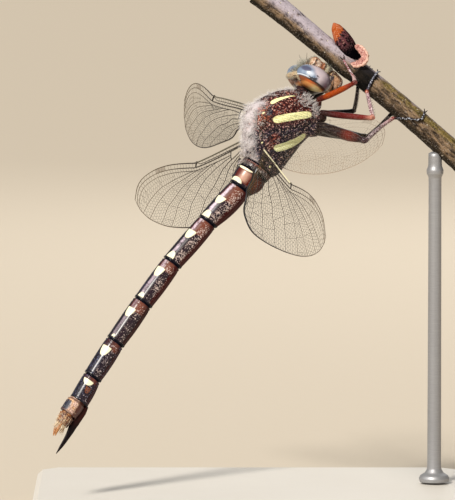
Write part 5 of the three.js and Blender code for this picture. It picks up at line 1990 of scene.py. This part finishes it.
# ---- coat ----
def tufts(mould, roots, normals, lay, lengths, thickness, spread, patches, rng, hairs=3, droop=0.25):
    """Tufts of bent, tapering three-sided hairs; each tuft is one small patch on the unwrap."""
    count = len(roots)
    total = count * hairs
    root = np.repeat(roots, hairs, 0) + rng.normal(0, spread, (total, 3))
    out = np.repeat(normals, hairs, 0)
    way = unit(out + np.repeat(lay, hairs, 0) + rng.normal(0, 0.32, (total, 3)))
    size = np.repeat(lengths, hairs) * rng.uniform(0.7, 1.15, total)
    bend = np.repeat(lay, hairs, 0) * 0.9 + rng.normal(0, 0.3, (total, 3)) + (0, 0, -droop)
    side = np.cross(way, out + (0.01, 0.02, 0.03))
    side /= np.maximum(np.linalg.norm(side, axis=1, keepdims=True), 1e-6)
    other = np.cross(way, side)
    rings = []
    for share, girth in ((0, 1.0), (0.4, 0.8), (0.75, 0.5)):
        middle = root - out * 0.06 + (way * share + bend * share**2 * 0.5) * size[:, None]
        for a in (0, 2.1, 4.2):
            rings.append(middle + (side * math.cos(a) + other * math.sin(a)) * (thickness / 2 * girth))
    rings.append(root + (way + bend * 0.5) * size[:, None])
    points = np.stack(rings, 1)
    base = np.arange(total)[:, None, None] * 10
    quads = [[k, (k + 1) % 3, (k + 1) % 3 + 3, k + 3] for k in range(3)]
    quads += [[k + 3, (k + 1) % 3 + 3, (k + 1) % 3 + 6, k + 6] for k in range(3)]
    tris = [[6, 7, 9], [7, 8, 9], [8, 6, 9], [0, 2, 1]]
    shade = np.repeat(rng.uniform(0, 1, total), 10)
    share = np.tile([0, 0, 0, 0.4, 0.4, 0.4, 0.75, 0.75, 0.75, 1.0], total)
    mould.add(
        points.reshape(-1, 3),
        [(base + np.array(quads)).reshape(-1, 4), (base + np.array(tris)).reshape(-1, 3)],
        np.column_stack([share, shade, shade * 0]),
    )
    corner = np.array([(math.cos(a), math.sin(a)) for a in np.linspace(0, 5.6, 10)]) * 0.0014
    mould.maps.append((np.repeat(patches, hairs, 0)[:, None] + corner).reshape(-1, 2))


def coat_piece(mould, name, finish):
    """A coat as one piece, with the map that its colours are baked on."""
    piece = mould.piece(name, finish)
    where = np.vstack(mould.maps)
    corners = np.zeros(len(piece.data.loops), np.int32)
    piece.data.loops.foreach_get("vertex_index", corners)
    layer = piece.data.uv_layers.new(name="OFBake")
    layer.uv.foreach_set("vector", where[corners].astype(np.float32).ravel())


def unwrap(angle, run):
    """Patches on the bake map: round the insect, and along it from 0 to 1."""
    return np.column_stack([angle / (2 * math.pi) * 0.96 + 0.5, run * 0.96 + 0.02])


def thorax_normals(f, angle):
    """Outward directions of the thorax, in body axes."""
    step = 0.02
    here = thorax_surface(f, angle)
    ahead = thorax_surface(f + step, angle) - here
    round_it = thorax_surface(f, angle + step) - here
    normal = unit(np.cross(ahead, round_it))
    middle = np.column_stack([f, f * 0, through(THORAX, f)[:, 0]])
    return here, normal * np.sign((normal * (here - middle)).sum(1))[:, None]


def build_coat(settings):
    """Woolly thorax, hairy crown and face, and the pale tail tip."""
    rng = np.random.default_rng(21)
    finish = hair_finish(settings)
    thick = settings.thickness / MM
    long = settings.length / MM
    mould = Mould()
    tries = settings.thorax_tufts * 8
    f = rng.uniform(-5.6, 6.4, tries)
    angle = rng.uniform(-math.pi, math.pi, tries)
    turned = np.degrees(np.abs(angle))
    patchy = 0.5 + 1.3 * grain(np.column_stack([f, angle * 4, f * 0]), 0.9, 5)
    back = soft(turned, 64, 42) * soft(f, 2.0, 1.0)
    front = soft(f, 4.0, 5.6) * soft(turned, 150, 110)
    brow = soft(turned, 44, 28) * soft(f, 1.2, 2.4)
    breast = soft(turned, 58, 76) * soft(turned, 140, 116) * soft(f, 3.4, 4.6)
    flank = 0.12 * soft(turned, 165, 150)
    chance = (back * 1.2 + front * 0.45 + brow * 0.5 + breast + flank) * np.clip(patchy, 0.1, 1)
    keep = np.flatnonzero(rng.uniform(0, 1, tries) < chance)[: settings.thorax_tufts]
    f, angle = f[keep], angle[keep]
    back, front, brow, breast = back[keep], front[keep], brow[keep], breast[keep]
    here, normal = thorax_normals(f, angle)
    size = long * np.clip(0.3 + 0.4 * back + 0.3 * front + 0.5 * brow + 0.2 * breast, 0.25, 1.0)
    size *= 1 - 0.5 * soft(f, 3.8, 5.0) * soft(np.abs(angle), 1.2, 0.8)
    patches = unwrap(angle, (f + 5.6) / 12)
    lay = np.tile(-AXES[0] * 0.35, (len(f), 1))
    lay[f > 4.2] = AXES[0] * 0.3
    lay = lay + rng.normal(0, 0.45, lay.shape)
    tufts(mould, in_body(here), normal @ AXES, lay, size, thick, 0.07, patches, rng, hairs=4)
    coat_piece(mould, "thorax_coat", finish)
    build_head_coat(settings, finish, rng)
    build_tail_coat(settings, finish, rng)


def blob_points(centre, semi, count, rng, keep):
    """Random points and outward directions on an ellipsoid in head axes, where keep allows."""
    d = unit(rng.normal(size=(count * 8, 3)))
    p = np.asarray(centre) + d * np.asarray(semi)
    n = unit(d / np.asarray(semi))
    good = keep(*p.T)
    return p[good][:count], n[good][:count]


# Hairy parts of the head: centre and half axes in head axes, share of the tufts, length as a
# share, and where on the part hair grows, from its forward, right and up.
HAIRY_HEAD = [
    ((-0.5, -0.2, 2.0), (0.5, 2.3, 0.56), 0.26, 0.36, lambda f, r, u: u > 1.9),
    ((0.1, 0, 1.0), (1.1, 0.8, 0.95), 0.4, 1.5, lambda f, r, u: u > 1.3),
    ((1.35, 0, 0.95), (0.8, 0.95, 0.72), 0.45, 1.3, lambda f, r, u: u > 1.0),
    ((2.45, 0, 0.3), (1.08, 1.45, 0.9), 0.24, 0.45, lambda f, r, u: (f > 2.2) | (u > 0.7)),
    ((2.5, 0, -1.3), (0.95, 1.55, 1.0), 0.24, 0.5, lambda f, r, u: np.abs(r) > 0.7),
    ((2.45, 0, -3.0), (0.85, 1.45, 0.75), 0.06, 0.4, lambda f, r, u: f > 2.3),
    ((-0.3, 0, -0.5), (1.3, 3.0, 2.2), 0.05, 0.4, lambda f, r, u: (f < -1.0) & (np.abs(r) > 1.2)),
]


def build_head_coat(settings, finish, rng):
    """Hair on the crown, brow, lips and behind the cheeks."""
    mould = Mould()
    for centre, semi, share, size, keep in HAIRY_HEAD:
        p, n = blob_points(centre, semi, int(settings.head_tufts * share), rng, keep)
        patches = unwrap(np.arctan2(p[:, 1], p[:, 2]), (p[:, 0] + 2) / 6)
        lay = np.zeros_like(p) + HEAD_AXES[0] * 0.15
        lengths = np.full(len(p), size * settings.length / MM * 0.8)
        fine = settings.thickness / MM * 0.8
        tufts(mould, in_head(p), n @ HEAD_AXES, lay, lengths, fine, 0.05, patches, rng, droop=0)
    coat_piece(mould, "head_coat", finish)


# Hairy segments of the tail: share of the tufts and length in mm.
HAIRY_TAIL = {"s1": (0.6, 0.55), "s2": (0.06, 0.3), "s9": (0.12, 0.3), "s10": (0.5, 0.35)}
TIP_TUFTS = 90


def build_tail_coat(settings, finish, rng):
    """Short pale hair on the last segments, and grey hair on the first ones."""
    mould = Mould()
    for name, (share, size) in HAIRY_TAIL.items():
        (f0, f1), ups, talls, wides, _ = ABDOMEN[name]
        count = int(settings.tail_tufts * share)
        t, angle = rng.uniform(0, 0.85, count), rng.uniform(-2.2, 2.2, count)
        f, mid = f0 + (f1 - f0) * t, ups[0] + (ups[1] - ups[0]) * t
        tall, wide = talls[0] + (talls[1] - talls[0]) * t, wides[0] + (wides[1] - wides[0]) * t
        p = np.column_stack([f, np.sin(angle) * wide, mid + np.cos(angle) * tall])
        n = np.column_stack([f * 0, np.sin(angle), np.cos(angle)])
        lay = np.tile(-AXES[0] * (2.2 if f0 < -40 else 0.8), (count, 1))
        patches = unwrap(angle, (f + 53) / 48)
        fine = settings.thickness / MM * 0.8
        tufts(mould, in_body(p), n @ AXES, lay, np.full(count, size), fine, 0.04, patches, rng, droop=0)
    angle = rng.uniform(-math.pi, math.pi, TIP_TUFTS)
    level = np.ones(TIP_TUFTS)
    p = np.column_stack([level * -52.55, np.sin(angle) * 0.65, -3.7 + np.cos(angle) * 0.65])
    n = np.column_stack([-level, np.sin(angle) * 0.35, np.cos(angle) * 0.35])
    patches = np.column_stack([angle / (2 * math.pi) * 0.96 + 0.5, level * 0.01])
    lay = np.tile(-AXES[0], (TIP_TUFTS, 1))
    stiff = settings.thickness / MM * 1.6
    sizes = rng.uniform(0.5, 0.95, TIP_TUFTS)
    tufts(mould, in_body(p), n @ AXES, lay, sizes, stiff, 0.06, patches, rng)
    coat_piece(mould, "tail_coat", finish)


def hair_finish(settings):
    """Pale soft hair, browner on the flanks and cream on the tail's tip."""
    sheet = Sheet("hair")
    _, shade, _ = sheet.place()
    f, _, u = sheet.body()
    sheet.ground = sheet.mix(shade.soft(0.5, 1.0), settings.grey, (220, 211, 210))
    low = (u + f * 0.5).soft(-2.5, -6.0) * f.soft(-12, -8)
    sheet.paint(low * 0.5, settings.brown)
    tip = f.soft(-40, -45)
    sheet.paint(tip, sheet.mix(shade.soft(0.5, 0.8), (244, 228, 198), (190, 140, 90)))
    head = f.soft(6.6, 7.4)
    sheet.paint(head * 0.9, sheet.mix(shade.soft(0.2, 0.7), (196, 192, 170), (80, 84, 64)))
    ahead, _, above = sheet.head()
    cheek = ahead.soft(-0.7, -0.85) * above.soft(2.0, 1.8) * head
    sheet.paint(cheek * 0.95, (96, 48, 18))
    return sheet.finish(0.6, Sheen_Weight=0.5, Sheen_Roughness=0.4)


# ---- stand ----
# The rod's radii in mm, at heights over its foot and at depths under its top.
ROD_FOOT = [(0, 0.3), (0, 2.1), (0.5, 2.2), (0.9, 2.0), (1.3, 1.35), (1.8, 1.05), (2.4, 1.0)]
ROD_FORK = [(5.0, 0.92), (4.2, 0.95), (3.7, 1.2), (3.2, 1.22), (2.6, 1.0), (0.8, 0.95), (0.5, 0.4)]


def build_stand(settings):
    """The painted plate keeps its solid; the rod gets a turned foot and a fork under the twig."""
    sheet = Sheet("plate paint")
    fine = sheet.noise(0.35, 4, 0.6)
    cloud = sheet.noise(9, 3, seed=2)
    sheet.ground = sheet.mix(cloud * 0.5, settings.plate, (212, 205, 194))
    paint = sheet.finish(fine * 0.15 + 0.42, fine, 0.02)
    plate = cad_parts["stand_plate"]
    for slot in plate.material_slots:
        slot.material = paint
    low, high = (np.array(corner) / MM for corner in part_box("stand_rod"))
    x, y = (low[:2] + high[:2]) / 2
    stations = [(low[2] + up, radius) for up, radius in ROD_FOOT]
    stations += [(high[2] - down, radius) for down, radius in ROD_FORK]
    rings = []
    for (z0, r0), (z1, r1) in zip(stations, stations[1:]):
        for t in np.linspace(0, 1, 4 if z1 - z0 < 10 else 30, endpoint=False):
            radius = r0 + (r1 - r0) * t
            rings.append(ring((x, y, z0 + (z1 - z0) * t), (radius, 0, 0), (0, radius, 0), 48))
    mould = Mould()
    mould.loft(rings)
    sheet = Sheet("brushed steel")
    stretch = {"Vector": sheet.point(), "Scale": (1, 1, 12)}
    lines = sheet.noise(1.2, 3, vector=sheet.node("ShaderNodeMapping", None, stretch)["Vector"])
    sheet.ground = sheet.mix(lines, settings.steel, (150, 150, 153))
    steel = sheet.finish(lines * 0.15 + 0.42, lines, 0.01, Metallic=0.6)
    mould.piece("stand_rod_turned", steel, ("stand_rod",), "stand_rod")


# ---- stage ----
AIM = Vector((-3.2, 0.0, 39.5)) * MM
SENSOR = 36.0
FLOOR_REACH = 9
SUN_PLACE = (-0.35, -0.65, 0.67)
SUN_WIDTH = math.radians(10)
# Fill lamps: name, place and size in metres, and share of the fill's strength.
LAMPS = [
    ("left", (-0.4, -0.12, 0.3), 0.22, 1.0),
    ("right", (0.3, -0.4, 0.06), 0.3, 0.5),
    ("back", (0.1, 0.4, 0.25), 0.3, 0.8),
]


def build_stage(studio):
    """Wide pale floor, a soft sun, two fill lamps and the camera."""
    scene = bpy.context.scene
    sheet = Sheet("floor")
    cloud = sheet.noise(400, 2)
    sheet.ground = sheet.mix(cloud * 0.12, studio.backdrop, (190, 176, 156))
    cover = sheet.finish(0.9, sheet.noise(3, 3), 0.05, Specular_IOR_Level=0.05)
    mesh = bpy.data.meshes.new("floor")
    corners = [(x * FLOOR_REACH, y * FLOOR_REACH, 0) for x, y in ((-1, -1), (1, -1), (1, 1), (-1, 1))]
    mesh.from_pydata(corners, [], [(0, 1, 2, 3)])
    mesh.materials.append(cover)
    floor = bpy.data.objects.new("floor", mesh)
    scene.collection.objects.link(floor)
    sun = bpy.data.lights.new("key", "SUN")
    sun.energy = studio.key
    sun.angle = SUN_WIDTH
    sun.color = tone(255, 250, 242)
    aim_at_model(bpy.data.objects.new("key", sun), Vector(SUN_PLACE))
    for name, place, size, share in LAMPS:
        data = bpy.data.lights.new(name, "AREA")
        data.size = size
        data.energy = studio.fill * share
        aim_at_model(bpy.data.objects.new(name, data), Vector(place))
    world = bpy.data.worlds.new("studio")
    world.use_nodes = True
    background = world.node_tree.nodes["Background"]
    background.inputs["Color"].default_value = (*tone(236, 232, 226), 1)
    background.inputs["Strength"].default_value = studio.sky
    scene.world = world
    scene.view_settings.view_transform = "Standard"
    data = bpy.data.cameras.new("camera")
    data.sensor_width = SENSOR
    data.lens = SENSOR * studio.distance / studio.view_height
    data.clip_start = 0.01
    data.clip_end = 30
    back = Vector((0, -math.cos(studio.elevation), math.sin(studio.elevation)))
    scene.camera = aim_at_model(bpy.data.objects.new("camera", data), AIM + back * studio.distance)


def aim_at_model(made, place):
    """Puts a lamp or camera at a place, looking at the model."""
    made.location = place
    made.rotation_mode = "QUATERNION"
    made.rotation_quaternion = (AIM - place).to_track_quat("-Z", "Y")
    bpy.context.scene.collection.objects.link(made)
    return made


# ---- operators ----
class DRAGONFLY_OT_thorax(bpy.types.Operator):
    """Build the skin of the thorax, collar and leg sockets"""

    bl_idname = "dragonfly.thorax"
    bl_label = "Thorax"
    bl_options = {"REGISTER", "UNDO"}

    def execute(self, context):
        build_thorax(context.scene.dragonfly_shell)
        return {"FINISHED"}


class DRAGONFLY_OT_abdomen(bpy.types.Operator):
    """Build the ten shells of the abdomen"""

    bl_idname = "dragonfly.abdomen"
    bl_label = "Abdomen"
    bl_options = {"REGISTER", "UNDO"}

    def execute(self, context):
        build_abdomen(context.scene.dragonfly_shell)
        return {"FINISHED"}


class DRAGONFLY_OT_tail(bpy.types.Operator):
    """Build the cerci and the egg-laying blade"""

    bl_idname = "dragonfly.tail"
    bl_label = "Tail tip"
    bl_options = {"REGISTER", "UNDO"}

    def execute(self, context):
        build_tail()
        return {"FINISHED"}


class DRAGONFLY_OT_head(bpy.types.Operator):
    """Build the head's skin, eyes, face and antennae"""

    bl_idname = "dragonfly.head"
    bl_label = "Head"
    bl_options = {"REGISTER", "UNDO"}

    def execute(self, context):
        colours = context.scene.dragonfly_head
        build_head()
        build_eyes(colours)
        build_face(colours)
        build_antennae()
        return {"FINISHED"}


class DRAGONFLY_OT_legs(bpy.types.Operator):
    """Build the six legs and their spines"""

    bl_idname = "dragonfly.legs"
    bl_label = "Legs"
    bl_options = {"REGISTER", "UNDO"}

    def execute(self, context):
        build_legs(context.scene.dragonfly_shell)
        return {"FINISHED"}


class DRAGONFLY_OT_wings(bpy.types.Operator):
    """Build the clear skins and the veins of the four wings"""

    bl_idname = "dragonfly.wings"
    bl_label = "Wings"
    bl_options = {"REGISTER", "UNDO"}

    def execute(self, context):
        for name in WINGS:
            build_wing(name, context.scene.dragonfly_wings)
        return {"FINISHED"}


class DRAGONFLY_OT_coat(bpy.types.Operator):
    """Grow the hair of thorax, head and tail"""

    bl_idname = "dragonfly.coat"
    bl_label = "Coat"
    bl_options = {"REGISTER", "UNDO"}

    def execute(self, context):
        build_coat(context.scene.dragonfly_coat)
        return {"FINISHED"}


class DRAGONFLY_OT_perch(bpy.types.Operator):
    """Build the twig and its bud"""

    bl_idname = "dragonfly.perch"
    bl_label = "Perch"
    bl_options = {"REGISTER", "UNDO"}

    def execute(self, context):
        build_perch(context.scene.dragonfly_perch)
        return {"FINISHED"}


class DRAGONFLY_OT_stand(bpy.types.Operator):
    """Paint the plate and build the rod of the stand"""

    bl_idname = "dragonfly.stand"
    bl_label = "Stand"
    bl_options = {"REGISTER", "UNDO"}

    def execute(self, context):
        build_stand(context.scene.dragonfly_perch)
        return {"FINISHED"}


class DRAGONFLY_OT_stage(bpy.types.Operator):
    """Set up the backdrop, lamps and camera"""

    bl_idname = "dragonfly.stage"
    bl_label = "Stage"
    bl_options = {"REGISTER", "UNDO"}

    def execute(self, context):
        build_stage(context.scene.dragonfly_studio)
        return {"FINISHED"}


OPERATORS = (
    DRAGONFLY_OT_stage,
    DRAGONFLY_OT_thorax,
    DRAGONFLY_OT_abdomen,
    DRAGONFLY_OT_tail,
    DRAGONFLY_OT_head,
    DRAGONFLY_OT_legs,
    DRAGONFLY_OT_wings,
    DRAGONFLY_OT_coat,
    DRAGONFLY_OT_perch,
    DRAGONFLY_OT_stand,
)
SETTINGS = {
    "dragonfly_shell": ShellColours,
    "dragonfly_head": HeadColours,
    "dragonfly_coat": CoatSettings,
    "dragonfly_wings": WingSettings,
    "dragonfly_perch": PerchSettings,
    "dragonfly_studio": StudioSettings,
}


class DRAGONFLY_PT_panel(bpy.types.Panel):
    """Buttons for the pieces, and the settings they use"""

    bl_idname = "DRAGONFLY_PT_panel"
    bl_label = "Dragonfly"
    bl_space_type = "VIEW_3D"
    bl_region_type = "UI"
    bl_category = "Dragonfly"

    def draw(self, context):
        for operator in OPERATORS:
            self.layout.operator(operator.bl_idname)
        for key, group in SETTINGS.items():
            box = self.layout.box()
            box.label(text=group.__doc__)
            for setting in group.__annotations__:
                box.prop(getattr(context.scene, key), setting)


def register():
    for kind in (*SETTINGS.values(), *OPERATORS, DRAGONFLY_PT_panel):
        bpy.utils.register_class(kind)
    for key, group in SETTINGS.items():
        setattr(bpy.types.Scene, key, PointerProperty(type=group))


def unregister():
    for key in SETTINGS:
        delattr(bpy.types.Scene, key)
    for kind in reversed((*SETTINGS.values(), *OPERATORS, DRAGONFLY_PT_panel)):
        bpy.utils.unregister_class(kind)


def main():
    """Registers the add-on and runs its operators in order."""
    register()
    for operator in OPERATORS:
        group, name = operator.bl_idname.split(".")
        getattr(getattr(bpy.ops, group), name)()
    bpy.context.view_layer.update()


if __name__ == "__main__":
    main()
